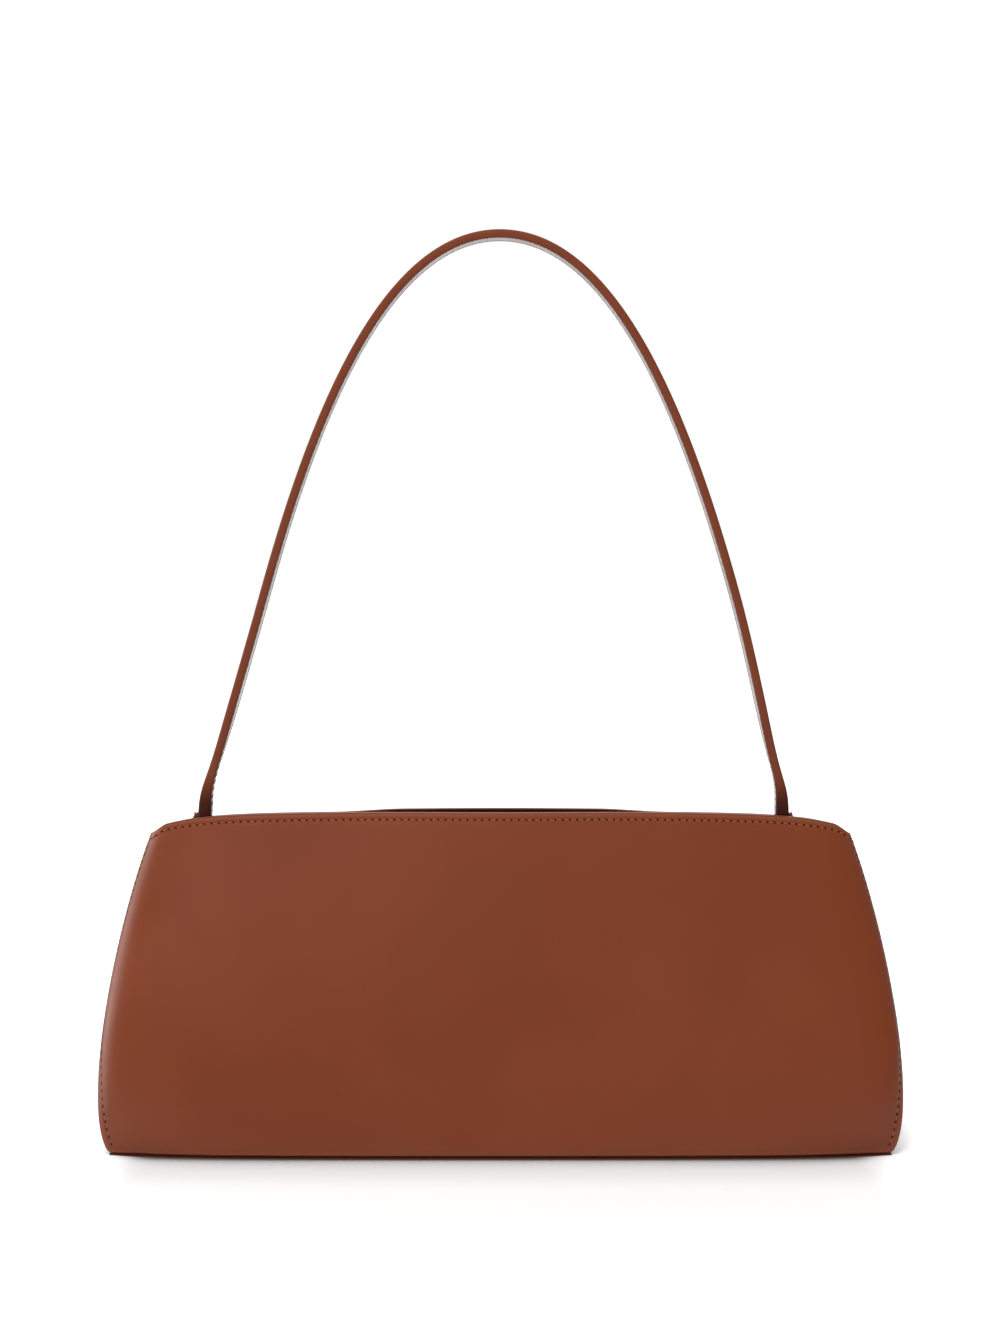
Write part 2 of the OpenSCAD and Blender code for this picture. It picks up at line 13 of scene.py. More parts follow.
import bmesh
import bpy
import numpy as np
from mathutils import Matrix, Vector

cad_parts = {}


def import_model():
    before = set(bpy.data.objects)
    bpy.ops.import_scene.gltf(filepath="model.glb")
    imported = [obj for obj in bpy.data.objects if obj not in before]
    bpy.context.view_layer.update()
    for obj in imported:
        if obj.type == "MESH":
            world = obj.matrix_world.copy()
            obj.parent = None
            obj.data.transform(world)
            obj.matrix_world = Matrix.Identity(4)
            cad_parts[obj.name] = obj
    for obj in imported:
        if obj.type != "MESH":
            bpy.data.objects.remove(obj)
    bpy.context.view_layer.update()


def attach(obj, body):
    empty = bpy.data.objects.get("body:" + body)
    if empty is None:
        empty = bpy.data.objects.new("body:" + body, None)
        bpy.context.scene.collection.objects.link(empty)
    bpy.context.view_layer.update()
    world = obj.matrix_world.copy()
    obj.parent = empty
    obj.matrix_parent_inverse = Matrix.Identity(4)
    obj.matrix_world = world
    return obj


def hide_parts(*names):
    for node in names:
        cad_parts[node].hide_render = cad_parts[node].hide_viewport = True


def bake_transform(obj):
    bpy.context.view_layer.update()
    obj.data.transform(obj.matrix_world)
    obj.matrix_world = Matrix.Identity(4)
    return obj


log = logging.getLogger("baguette_bag")
MM = 0.001
# Small step along a row or a column, for slopes, and a distance that is far from any edge.
STEP = 1e-3
FAR = 99.0

Array = np.ndarray


class Side(Enum):
    """The two long sides of the bag."""

    FRONT = -1
    BACK = 1

    @property
    def body(self) -> str:
        """Name of the body that this side moves with."""
        return f"{self.label}_side"

    @property
    def label(self) -> str:
        """The side's name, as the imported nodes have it."""
        return self.name.lower()


class End(Enum):
    """The two ends of the bag."""

    LEFT = -1
    RIGHT = 1

    @property
    def label(self) -> str:
        """The end's name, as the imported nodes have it."""
        return self.name.lower()


# Small shape functions


def bezier(points: tuple, t: Array) -> Array:
    """Cubic curve through four control values.

    Args:
        points: The four control values or arrays.
        t: Place along the curve, from 0 to 1.

    Returns:
        The value at t.
    """
    a, b, c, d = points
    u = 1 - t
    return a * u**3 + 3 * b * t * u**2 + 3 * c * t**2 * u + d * t**3


def bezier_slope(points: tuple, t: Array) -> Array:
    """Slope of the same cubic curve at t.

    Args:
        points: Four control points.
        t: Parameter from 0 to 1.

    Returns:
        The slope at each t.
    """
    a, b, c, d = points
    u = 1 - t
    return 3 * (b - a) * u**2 + 6 * (c - b) * t * u + 3 * (d - c) * t**2


def smooth(s: Array) -> Array:
    """Ease from 0 to 1 with level ends."""
    k = np.clip(s, 0, 1)
    return k * k * (3 - 2 * k)


def mix(a: Array, b: Array, s: Array) -> Array:
    """Value a share s of the way from a to b."""
    return a + (b - a) * s


def unit(v: Array) -> Array:
    """Vectors of length one along the last axis."""
    return v / np.maximum(np.linalg.norm(v, axis=-1, keepdims=True), 1e-12)


def edge_marks(radius: float, steps: int = 4) -> list[float]:
    """Distances from an edge at which its rounding needs a row of points."""
    return [radius * (1 - math.cos(math.pi / 2 * i / steps)) for i in range(steps + 1)]


def rounding(distance: Array, radius: float) -> Array:
    """How far a sheet's face is drawn in by its round edge.

    Args:
        distance: Distance from the sheet's nearest edge.
        radius: Radius of the rounding, half the sheet's thickness.

    Returns:
        The draw-in, which is the whole radius at the edge itself.
    """
    a = np.clip(radius - distance, 0, radius)
    return radius - np.sqrt(radius**2 - a**2)


def groove(distance: Array, place: float, width: float, depth: float) -> Array:
    """Depth of the shallow channel that a row of stitches draws into leather."""
    return depth * np.exp(-(((distance - place) / width) ** 2))


# The body's form, as the part's source has it


@dataclass(frozen=True)
class BodyForm:
    """The curved sides of the bag: rows t from base to rim, stations q from left to right."""

    base_half_length: float = 156.2
    side_swell: float = 11.0
    upper_swell: float = 4.5
    rim_half_length: float = 144.9
    lower_curve_height: float = 15.0
    upper_curve_height: float = 75.5
    rim_end_height: float = 125.5
    rim_crown: float = 7.3
    base_half_depth: float = 42.4
    base_bulge: float = 8.0
    seam_curve_depth: float = 17.8
    middle_curve_depth: float = 30.1
    rim_end_depth: float = 2.0
    rim_half_gap: float = 7.6
    mouth_pop: float = 2.4
    mouth_half_length: float = 66.0
    back_rim_dip: float = 1.1
    dip_start: float = 40.0
    dip_run: float = 30.0
    seam_bulge: float = 0.6
    middle_bulge: float = 1.6
    corner_reach: float = 25.0
    corner_rows: float = 0.45
    corner_fade: float = 1.2
    base_turn: float = 7.0
    side_turn: float = 15.0
    rim_turn: float = 8.0
    flat_reach: float = 0.75
    crown_ease: float = 0.3
    corner_drop: float = 1.8
    corner_from: float = 0.95
    corner_power: float = 6.0
    leather: float = 1.3
    base_edge: float = 0.75
    gusset_leather: float = 1.0
    tape: float = 0.6
    facing_leather: float = 1.1
    lining: float = 0.6
    facing_height: float = 31.0
    tape_height: float = 7.6
    gap: float = 0.3
    seam_margin: float = 6.0
    lining_inset: float = 16.0

    @property
    def panel_bottom(self) -> float:
        """Height of the panels' bottom edge, on the thinned edge of the base."""
        return self.base_edge + self.gap

    @property
    def plain_bottom(self) -> float:
        """Height at which the panels would end on a base of full thickness."""
        return self.leather + self.gap

    @property
    def facing_depth(self) -> float:
        """Depth of the facing and lining behind the outer surface."""
        return self.leather + self.tape

    @property
    def facing_start(self) -> float:
        """Row at which the facing begins."""
        return self.row_at(self.rim_end_height - self.facing_height)

    @property
    def tape_start(self) -> float:
        """Row at which the rim tape begins."""
        return self.row_at(self.rim_end_height - self.tape_height)

    def half_length(self, t: Array) -> Array:
        """Half length of the body at a row.

        Args:
            t: Row.

        Returns:
            Half length, mm.
        """
        base = self.base_half_length
        points = (base, base + self.side_swell, base + self.upper_swell, self.rim_half_length)
        return bezier(points, t)

    def seam_depth(self, t: Array) -> Array:
        """Distance of the side seam from the middle plane at a row.

        Args:
            t: Row.

        Returns:
            Distance, mm.
        """
        base = self.base_half_depth
        points = (base, base + self.seam_bulge, self.seam_curve_depth, self.rim_end_depth)
        return bezier(points, t)

    def middle_depth(self, t: Array) -> Array:
        """Distance of a side's middle from the middle plane at a row.

        Args:
            t: Row.

        Returns:
            Distance, mm.
        """
        base = self.base_half_depth + self.base_bulge
        points = (base, base + self.middle_bulge, self.middle_curve_depth, self.rim_half_gap)
        return bezier(points, t)

    def row_height(self, t: Array, start: float) -> Array:
        """Height of a row that begins at the given height."""
        points = (start, self.lower_curve_height, self.upper_curve_height, self.rim_end_height)
        return bezier(points, t)

    def row_at(self, height: float) -> float:
        """Row that lies at a height, found by halving.

        Args:
            height: Height, mm.

        Returns:
            The row.
        """
        low, high = 0.0, 1.0
        for _ in range(40):
            t = (low + high) / 2
            low, high = (t, high) if self.row_height(t, self.panel_bottom) < height else (low, t)
        return t

    def plan_points(self, t: Array) -> tuple:
        """Control points of the plan curve of half a row.

        Args:
            t: Row.

        Returns:
            The four control points, each as its x and y.
        """
        t = np.asarray(t, float)
        length, seam, middle = self.half_length(t), self.seam_depth(t), self.middle_depth(t)
        fade = np.clip(1 - t / self.corner_rows, 0, 1) ** self.corner_fade
        pull = mix(self.base_turn, self.side_turn, smooth(t / self.corner_rows))
        pull = pull - (self.side_turn - self.rim_turn) * smooth(2 * t - 1)
        return (
            np.stack([0 * t, middle], -1),
            np.stack([self.flat_reach * length, middle], -1),
            np.stack([length - self.corner_reach * fade, seam + pull], -1),
            np.stack([length, seam], -1),
        )

    def plan(self, s: Array, t: Array) -> Array:
        """Point of half a row in plan, from its middle (s = 0) to the seam edge (s = 1)."""
        return bezier(self.plan_points(t), np.asarray(s, float)[..., None])

    def plan_slope(self, s: Array, t: Array) -> Array:
        """Slope of that curve."""
        return bezier_slope(self.plan_points(t), np.asarray(s, float)[..., None])

    def plan_set_in(self, s: Array, t: Array, depth: Array) -> Array:
        """The same point, set in from the outer surface by a depth.

        Args:
            s: Station along the side.
            t: Row.
            depth: Depth below the surface, mm.

        Returns:
            The x and y of the point.
        """
        along = unit(self.plan_slope(s, t))
        out = np.stack([-along[..., 1], along[..., 0]], -1)
        return self.plan(s, t) - np.asarray(depth, float)[..., None] * out

    def pop(self, x: Array, t: Array) -> Array:
        """How far the mouth stands open past its gap.

        Args:
            x: Distance from the middle, mm.
            t: Row.

        Returns:
            The extra opening, mm.
        """
        inside = np.abs(x) < self.mouth_half_length
        wave = np.cos(np.pi / 2 * x / self.mouth_half_length) ** 2
        return self.mouth_pop * t**3 * np.where(inside, wave, 0)

    def crown(self, x: Array, t: Array) -> Array:
        """Height that a row gains over its ends.

        Args:
            x: Distance from the middle, mm.
            t: Row.

        Returns:
            The gain, mm.
        """
        u = np.minimum(1, np.abs(x) / self.half_length(t))
        drop = self.crown_ease * u**3 + (1 - self.crown_ease) * u**11
        corner = smooth((u - self.corner_from) / (1 - self.corner_from))
        corner = self.corner_drop * corner * t**self.corner_power
        return self.rim_crown * t**2 * (1 - drop) - corner

    def dip(self, x: Array, t: Array, side: Side) -> Array:
        """How far the back rim lies below the front one.

        Args:
            x: Distance from the middle, mm.
            t: Row.
            side: Front or back.

        Returns:
            The drop, mm.
        """
        if side is Side.FRONT:
            return 0 * x
        return self.back_rim_dip * t**3 * smooth((np.abs(x) - self.dip_start) / self.dip_run)

    def point(self, side: Side, q: Array, t: Array, depth: Array) -> Array:
        """Point of a side.

        Args:
            side: Front or back.
            q: Station, from -1 at the left seam edge to 1 at the right one.
            t: Row, from 0 at the base to 1 at the rim.
            depth: Distance behind the outer surface.

        Returns:
            Points in millimetres.
        """
        q, t, depth = np.broadcast_arrays(*(np.asarray(v, float) for v in (q, t, depth)))
        s = np.abs(q)
        place, x = self.plan_set_in(s, t, depth), self.plan(s, t)[..., 0]
        z = self.row_height(t, self.panel_bottom) + self.crown(x, t) - self.dip(x, t, side)
        y = side.value * (place[..., 1] + self.pop(x, t))
        return np.stack([np.sign(q) * place[..., 0], y, z], -1)

    def normal(self, side: Side, q: Array, t: Array) -> Array:
        """Outward normal of a side's outer surface.

        Args:
            side: Front or back.
            q: Station along the side.
            t: Row.

        Returns:
            Unit vectors.
        """
        across = self.point(side, q + STEP, t, 0) - self.point(side, q - STEP, t, 0)
        up = self.point(side, q, t + STEP, 0) - self.point(side, q, t - STEP, 0)
        return unit(np.cross(across, up) * -side.value)

    def speed(self, q: Array, t: float) -> Array:
        """Distance that a point moves up the side for a unit of row."""
        rise = self.point(Side.FRONT, q, t + STEP, 0) - self.point(Side.FRONT, q, t - STEP, 0)
        return np.linalg.norm(rise, axis=-1) / (2 * STEP)

    def station_at(self, distance: Array, t: float) -> Array:
        """Station that lies a distance from the seam edge.

        Args:
            distance: Distance, mm.
            t: Row.

        Returns:
            The station.
        """
        q, steps = np.ones_like(np.asarray(distance, float)), 16
        for _ in range(steps):
            q = q - distance / steps / np.linalg.norm(self.plan_slope(q, t), axis=-1)
        return q

    def station_at_x(self, x: Array, t: Array) -> Array:
        """Station that lies a distance from the middle.

        Args:
            x: Distance from the middle, mm.
            t: Row.

        Returns:
            The station.
        """
        x, t = np.broadcast_arrays(np.asarray(x, float), np.asarray(t, float))
        low, high = np.zeros(x.shape), np.ones(x.shape)
        for _ in range(30):
            s = (low + high) / 2
            short = self.plan(s, t)[..., 0] < np.abs(x)
            low, high = np.where(short, s, low), np.where(short, high, s)
        return np.sign(x) * (low + high) / 2


FORM = BodyForm()


# Meshes


def new_object(name: str, mesh: bpy.types.Mesh) -> bpy.types.Object:
    """Object with that mesh, in the scene.

    Args:
        name: Name of the object.
        mesh: Mesh that it shows.

    Returns:
        The object.
    """
    made = bpy.data.objects.new(name, mesh)
    bpy.context.scene.collection.objects.link(made)
    return made


def grid_faces(index: Array) -> Array:
    """Quads of a grid of vertex numbers."""
    a, b, c, d = index[:-1, :-1], index[:-1, 1:], index[1:, 1:], index[1:, :-1]
    return np.stack([a, b, c, d], -1).reshape(-1, 4)


def arc_lengths(grid: Array) -> tuple[Array, Array]:
    """Distances along the rows and columns of a grid, from its middle column and first row.

    Args:
        grid: Points, rows by columns.

    Returns:
        Distances along the rows, and along the columns.
    """
    across = np.linalg.norm(np.diff(grid, axis=1), axis=-1)
    across = np.concatenate([np.zeros((len(grid), 1)), np.cumsum(across, 1)], 1)
    across = across - across[:, grid.shape[1] // 2][:, None]
    up = np.linalg.norm(np.diff(grid, axis=0), axis=-1)
    up = np.concatenate([np.zeros((1, grid.shape[1])), np.cumsum(up, 0)], 0)
    return across, up


def sheet_object(name: str, outer: Array, inner: Array, edge: Array) -> bpy.types.Object:
    """Closed sheet between two grids of points.

    Args:
        name: Name of the piece.
        outer: Rows by columns of points in millimetres.
        inner: The other face, point for point.
        edge: Distance of each point from the sheet's edge, kept for the material.

    Returns:
        The object, with a UV map in metres and the attribute edge_mm.
    """
    rows, columns = outer.shape[:2]
    count = rows * columns
    top = np.arange(count).reshape(rows, columns)
    under = top + count
    around = np.concatenate([top[0], top[1:, -1], top[-1, -2::-1], top[-2:0:-1, 0]])
    following = np.roll(around, -1)
    rim = np.stack([following, around, around + count, following + count], -1)
    faces = np.concatenate([grid_faces(top), grid_faces(under)[:, ::-1], rim])
    points = np.concatenate([outer.reshape(-1, 3), inner.reshape(-1, 3)]) * MM
    corner = points[faces]
    flux = np.einsum("ij,ij->i", corner[:, 0], np.cross(corner[:, 1], corner[:, 2]))
    flux = flux + np.einsum("ij,ij->i", corner[:, 0], np.cross(corner[:, 2], corner[:, 3]))
    if flux.sum() < 0:
        faces = faces[:, ::-1]
    mesh = bpy.data.meshes.new(name)
    mesh.from_pydata(points.tolist(), [], faces.tolist())
    across, up = arc_lengths(outer)
    flat = np.stack([across, up], -1).reshape(-1, 2)
    flat = np.concatenate([flat, flat]) * MM
    loops = np.empty(len(mesh.loops), np.int32)
    mesh.loops.foreach_get("vertex_index", loops)
    mesh.uv_layers.new(name="cut").data.foreach_set("uv", flat[loops].ravel())
    shade = mesh.attributes.new("edge_mm", "FLOAT", "POINT")
    values = np.minimum(edge, FAR).ravel()
    shade.data.foreach_set("value", np.concatenate([values, values]).astype(np.float32))
    weld(mesh)
    mesh.shade_smooth()
    mesh.set_sharp_from_angle(angle=math.radians(50))
    return new_object(name, mesh)


def weld(mesh: bpy.types.Mesh) -> None:
    """Merge the points that a round edge brings together, and drop what has no area.

    Args:
        mesh: Mesh that is changed.
    """
    work = bmesh.new()
    work.from_mesh(mesh)
    bmesh.ops.remove_doubles(work, verts=work.verts, dist=2e-6)
    bmesh.ops.dissolve_degenerate(work, edges=work.edges, dist=1e-7)
    work.to_mesh(mesh)
    work.free()
    mesh.validate()


def bead_object(name: str, path: Array, width: Array, height: Array, ring: int = 14,
                fullness: float = 2.6) -> bpy.types.Object:
    """Closed bead of edge paint along a path.

    Args:
        name: Name of the piece.
        path: Its middle points in millimetres.
        width: Half of its width at each point, as a vector.
        height: Half of its height at each point, as a vector.
        ring: Number of points round it.
        fullness: Power of its outline: 2 is an ellipse, and more is squarer.

    Returns:
        The object.
    """
    angle = 2 * np.pi * np.arange(ring) / ring
    c = np.sign(np.cos(angle)) * np.abs(np.cos(angle)) ** (2 / fullness)
    s = np.sign(np.sin(angle)) * np.abs(np.sin(angle)) ** (2 / fullness)
    taper = np.ones(len(path))
    taper[[0, -1]] = 0.55
    c, s = c[None] * taper[:, None], s[None] * taper[:, None]
    points = path[:, None] + width[:, None] * c[..., None] + height[:, None] * s[..., None]
    index = np.arange(len(path) * ring).reshape(len(path), ring)
    faces = grid_faces(np.concatenate([index, index[:, :1]], 1)).tolist()
    faces += [index[0, ::-1].tolist(), index[-1].tolist()]
    mesh = bpy.data.meshes.new(name)
    mesh.from_pydata((points.reshape(-1, 3) * MM).tolist(), [], faces)
    work = bmesh.new()
    work.from_mesh(mesh)
    bmesh.ops.recalc_face_normals(work, faces=work.faces)
    work.to_mesh(mesh)
    work.free()
    mesh.shade_smooth()
    mesh.set_sharp_from_angle(angle=math.radians(60))
    return new_object(name, mesh)


# Materials

EASED = {"interpolation_type": "SMOOTHSTEP"}
COLOURS = {"data_type": "RGBA"}
# A Mix node's colour sockets go by number, because several of its sockets share a name.
SHARE, FIRST, SECOND, MIXED = 0, 6, 7, 2
# Distance between two bands of the Wave texture at scale 1, straight and diagonal.
STRAIGHT_BAND, DIAGONAL_BAND = math.pi / 10, math.pi / 5


def linear(colour: str) -> tuple[float, float, float, float]:
    """Linear colour of an sRGB hex value such as #82442E.

    Args:
        colour: The sRGB value.

    Returns:
        Red, green, blue and alpha.
    """
    parts = [int(colour[i:i + 2], 16) / 255 for i in (1, 3, 5)]
    parts = [p / 12.92 if p <= 0.04045 else ((p + 0.055) / 1.055) ** 2.4 for p in parts]
    return (*parts, 1.0)


def grey(tone: float) -> tuple[float, float, float, float]:
    """Linear grey of a tone from 0 to 1."""
    return (tone, tone, tone, 1.0)


def per_metre(size_mm: float) -> float:
    """Texture scale that gives a pattern of that size."""
    return 1 / (size_mm * MM)


def add_node(tree: bpy.types.NodeTree, kind: str, settings: dict | None = None,
             inputs: dict | None = None) -> bpy.types.Node:
    """Add one node.

    Args:
        tree: The tree that it goes into.
        kind: Its type.
        settings: Its properties.
        inputs: Values or sockets for its inputs, by name or number.

    Returns:
        The node.
    """
    made = tree.nodes.new(kind)
    for name, value in (settings or {}).items():
        setattr(made, name, value)
    for name, value in (inputs or {}).items():
        if isinstance(value, bpy.types.NodeSocket):
            tree.links.new(value, made.inputs[name])
        else:
            made.inputs[name].default_value = value
    return made


def begin_material(name: str) -> tuple[bpy.types.Material, bpy.types.NodeTree]:
    """Empty material with that name, and its tree.

    Args:
        name: Name of the material.

    Returns:
        The material and its node tree.
    """
    made = bpy.data.materials.new(name)
    made.use_nodes = True
    made.node_tree.nodes.clear()
    return made, made.node_tree


def finish_material(tree: bpy.types.NodeTree, inputs: dict) -> None:
    """Give the material its shader, with those inputs, and its output."""
    shader = add_node(tree, "ShaderNodeBsdfPrincipled", inputs=inputs)
    add_node(tree, "ShaderNodeOutputMaterial", inputs={"Surface": shader.outputs["BSDF"]})


def noises(tree: bpy.types.NodeTree, *patterns: tuple[float, float]
           ) -> list[bpy.types.NodeSocket]:
    """Noises fixed to the piece, which share one set of coordinates.

    Args:
        tree: The material's tree.
        patterns: Size in millimetres and detail of each noise.

    Returns:
        A value from 0 to 1 for each.
    """
    place = add_node(tree, "ShaderNodeTexCoord").outputs["Object"]
    return [add_node(tree, "ShaderNodeTexNoise", inputs={
        "Vector": place, "Scale": per_metre(size), "Detail": detail}).outputs["Fac"]
        for size, detail in patterns]


@dataclass(frozen=True)
class SmoothCalf:
    """Full-grain calf, aniline dyed and glazed: one even colour with a soft, wide gloss.

    The pores are about 0.2 mm apart, and are drawn at 0.9 mm so that they show at all.
    The colour is a little lighter, or darker, for a millimetre or two beside a cut edge:
    edge wear, together with painted light: a painted highlight along the outer calf's
    rounded edges, and painted shade along the base's edge.
    """

    name: str = "smooth_calf"
    colour: str = "#803E24"
    deep: str = "#7C3B21"
    # The outer calf's lighter edge colour is edge wear and partly a painted highlight.
    worn: str = "#8B4C33"
    roughness: float = 0.37
    gloss: float = 0.27
    pore_mm: float = 0.9
    pore_depth_mm: float = 0.012
    cloud_mm: float = 70.0
    swell_mm: float = 14.0
    swell_depth_mm: float = 0.05
    polish_mm: float = 22.0
    worn_share: float = 0.9

    def build(self) -> bpy.types.Material:
        """Make the material.

        Returns:
            The material.
        """
        made, tree = begin_material(self.name)
        cloud, swell, polish = noises(tree, (self.cloud_mm, 2.0), (self.swell_mm, 2.0),
                                      (self.polish_mm, 3.0))
        tint = add_node(tree, "ShaderNodeMapRange", EASED, {
            "Value": cloud, "From Min": 0.35, "From Max": 0.65}).outputs["Result"]
        dyed = add_node(tree, "ShaderNodeMix", COLOURS, {
            SHARE: tint, FIRST: linear(self.deep), SECOND: linear(self.colour)}).outputs[MIXED]
        edge = add_node(tree, "ShaderNodeAttribute", {"attribute_name": "edge_mm"}).outputs["Fac"]
        # Beside a cut edge the colour turns to the edge colour: edge wear, with a painted highlight
        # on the outer calf and painted shade on the base.
        edge_wear_and_light_mask = add_node(tree, "ShaderNodeMapRange", EASED, {
            "Value": edge, "From Min": 0.4, "From Max": 2.2, "To Min": self.worn_share,
            "To Max": 0.0}).outputs["Result"]
        colour = add_node(tree, "ShaderNodeMix", COLOURS, {
            SHARE: edge_wear_and_light_mask, FIRST: dyed, SECOND: linear(self.worn)}).outputs[MIXED]
        place = add_node(tree, "ShaderNodeTexCoord").outputs["Object"]
        pores = add_node(tree, "ShaderNodeTexVoronoi", {"feature": "SMOOTH_F1"}, {
            "Vector": place, "Scale": per_metre(self.pore_mm)}).outputs["Distance"]
        fine = add_node(tree, "ShaderNodeBump", inputs={
            "Height": pores, "Distance": self.pore_depth_mm * MM}).outputs["Normal"]
        soft = add_node(tree, "ShaderNodeBump", inputs={
            "Height": swell, "Distance": self.swell_depth_mm * MM,
            "Normal": fine}).outputs["Normal"]
        rough = add_node(tree, "ShaderNodeMapRange", EASED, {
            "Value": polish, "From Min": 0.3, "From Max": 0.7, "To Min": self.roughness - 0.03,
            "To Max": self.roughness + 0.03}).outputs["Result"]
        finish_material(tree, {"Base Color": colour, "Roughness": rough, "Normal": soft,
                               "Specular IOR Level": self.gloss, "IOR": 1.5})
        return made


@dataclass(frozen=True)
class EdgePaint:
    """Two coats of acrylic edge paint, buffed: smooth and rounded, with a soft shine.

    The foot colour is painted shade: the paint turns darker low on the strap, where its feet
    go down between the rims.
    """

    name: str = "edge_paint"
    colour: str = "#7A3C26"
    roughness: float = 0.4
    gloss: float = 0.3
    foot: str | None = None
    foot_heights: tuple[float, float] = (0.134, 0.15)
    second_coat: str = "#80422B"
    streak_mm: float = 9.0
    ripple_mm: float = 2.5
    ripple_depth_mm: float = 0.03

    def build(self) -> bpy.types.Material:
        """Make the material.

        Returns:
            The material.
        """
        made, tree = begin_material(self.name)
        streak, ripple = noises(tree, (self.streak_mm, 3.0), (self.ripple_mm, 2.0))
        colour = add_node(tree, "ShaderNodeMix", COLOURS, {
            SHARE: streak, FIRST: linear(self.colour),
            SECOND: linear(self.second_coat)}).outputs[MIXED]
        # Painted shade: below the given heights the paint darkens to the foot colour.
        if self.foot is not None:
            place = add_node(tree, "ShaderNodeTexCoord").outputs["Object"]
            z = add_node(tree, "ShaderNodeSeparateXYZ", inputs={0: place}).outputs[2]
            low, high = self.foot_heights
            painted_shade = add_node(tree, "ShaderNodeMapRange", EASED, {
                "Value": z, "From Min": low, "From Max": high, "To Min": 1.0,
                "To Max": 0.0}).outputs["Result"]
            colour = add_node(tree, "ShaderNodeMix", COLOURS, {
                SHARE: painted_shade, FIRST: colour, SECOND: linear(self.foot)}).outputs[MIXED]
        relief = add_node(tree, "ShaderNodeBump", inputs={
            "Height": ripple, "Distance": self.ripple_depth_mm * MM}).outputs["Normal"]
        finish_material(tree, {"Base Color": colour, "Roughness": self.roughness,
                               "Normal": relief, "Specular IOR Level": self.gloss})
        return made


@dataclass(frozen=True)
class SewingThread:
    """Bonded polyester thread, waxed: lighter than the leather, with a low sheen.

    Its plies lie about 0.35 mm apart, and are drawn at 1.3 mm so that they show at all.
    """

    name: str = "sewing_thread"
    colour: str = "#A8674A"
    shade: str = "#8E5135"
    ply_mm: float = 1.32
    ply_depth_mm: float = 0.05

    def build(self) -> bpy.types.Material:
        """Make the material.

        Returns:
            The material.
        """
        made, tree = begin_material(self.name)
        place = add_node(tree, "ShaderNodeTexCoord").outputs["Object"]
        ply = add_node(tree, "ShaderNodeTexWave", {"bands_direction": "DIAGONAL"}, {
            "Vector": place, "Scale": per_metre(self.ply_mm) * DIAGONAL_BAND,
            "Distortion": 0.4}).outputs["Fac"]
        colour = add_node(tree, "ShaderNodeMix", COLOURS, {
            SHARE: ply, FIRST: linear(self.shade), SECOND: linear(self.colour)}).outputs[MIXED]
        relief = add_node(tree, "ShaderNodeBump", inputs={
            "Height": ply, "Distance": self.ply_depth_mm * MM}).outputs["Normal"]
        finish_material(tree, {"Base Color": colour, "Roughness": 0.55, "Normal": relief,
                               "Specular IOR Level": 0.35})
        return made


@dataclass(frozen=True)
class NeedleHole:
    """Painted shade of a needle hole: a dark, matte, reddish colour with flecks of cut fibre."""

    name: str = "needle_hole"
    colour: str = "#3A1208"
    fibre: str = "#48180B"
    fibre_mm: float = 1.5

    def build(self) -> bpy.types.Material:
        """Make the material.

        Returns:
            The material.
        """
        made, tree = begin_material(self.name)
        fibres, = noises(tree, (self.fibre_mm, 3.0))
        colour = add_node(tree, "ShaderNodeMix", COLOURS, {
            SHARE: fibres, FIRST: linear(self.colour), SECOND: linear(self.fibre)}).outputs[MIXED]
        finish_material(tree, {"Base Color": colour, "Roughness": 0.9,
                               "Specular IOR Level": 0.0})
        return made


@dataclass(frozen=True)
class LiningTwill:
    """Dark brown cotton twill: fine diagonal ribs, matte, with a trace of fuzz.

    The ribs are about 0.6 mm apart, and are drawn at 2.4 mm so that they show at all.
    """

    name: str = "lining_twill"
    colour: str = "#33241B"
    rib: str = "#433126"
    slub: str = "#281B14"
    rib_mm: float = 2.37
    rib_angle: float = 52.0
    rib_depth_mm: float = 0.15
    yarn_mm: float = 0.8
    yarn_depth_mm: float = 0.06

    def build(self) -> bpy.types.Material:
        """Make the material.

        Returns:
            The material.
        """
        made, tree = begin_material(self.name)
        cut = add_node(tree, "ShaderNodeUVMap", {"uv_map": "cut"}).outputs["UV"]
        turned = add_node(tree, "ShaderNodeMapping", inputs={
            "Vector": cut,
            "Rotation": (0.0, 0.0, math.radians(self.rib_angle))}).outputs["Vector"]
        ribs = add_node(tree, "ShaderNodeTexWave", {"bands_direction": "X"}, {
            "Vector": turned, "Scale": per_metre(self.rib_mm) * STRAIGHT_BAND,
            "Distortion": 0.6, "Detail": 2.0, "Detail Scale": 8.0}).outputs["Fac"]
        yarn = add_node(tree, "ShaderNodeTexNoise", inputs={
            "Vector": cut, "Scale": per_metre(self.yarn_mm), "Detail": 2.0}).outputs["Fac"]
        weave = add_node(tree, "ShaderNodeMix", COLOURS, {
            SHARE: ribs, FIRST: linear(self.colour), SECOND: linear(self.rib)}).outputs[MIXED]
        slubs = add_node(tree, "ShaderNodeMapRange", EASED, {
            "Value": yarn, "From Min": 0.4, "From Max": 0.75, "To Max": 0.5}).outputs["Result"]
        colour = add_node(tree, "ShaderNodeMix", COLOURS, {
            SHARE: slubs, FIRST: weave, SECOND: linear(self.slub)}).outputs[MIXED]
        ribbed = add_node(tree, "ShaderNodeBump", inputs={
            "Height": ribs, "Distance": self.rib_depth_mm * MM}).outputs["Normal"]
        relief = add_node(tree, "ShaderNodeBump", inputs={
            "Height": yarn, "Distance": self.yarn_depth_mm * MM,
            "Normal": ribbed}).outputs["Normal"]
        finish_material(tree, {"Base Color": colour, "Roughness": 0.85, "Normal": relief,
                               "Specular IOR Level": 0.2, "Sheen Weight": 0.25,
                               "Sheen Roughness": 0.5})
        return made


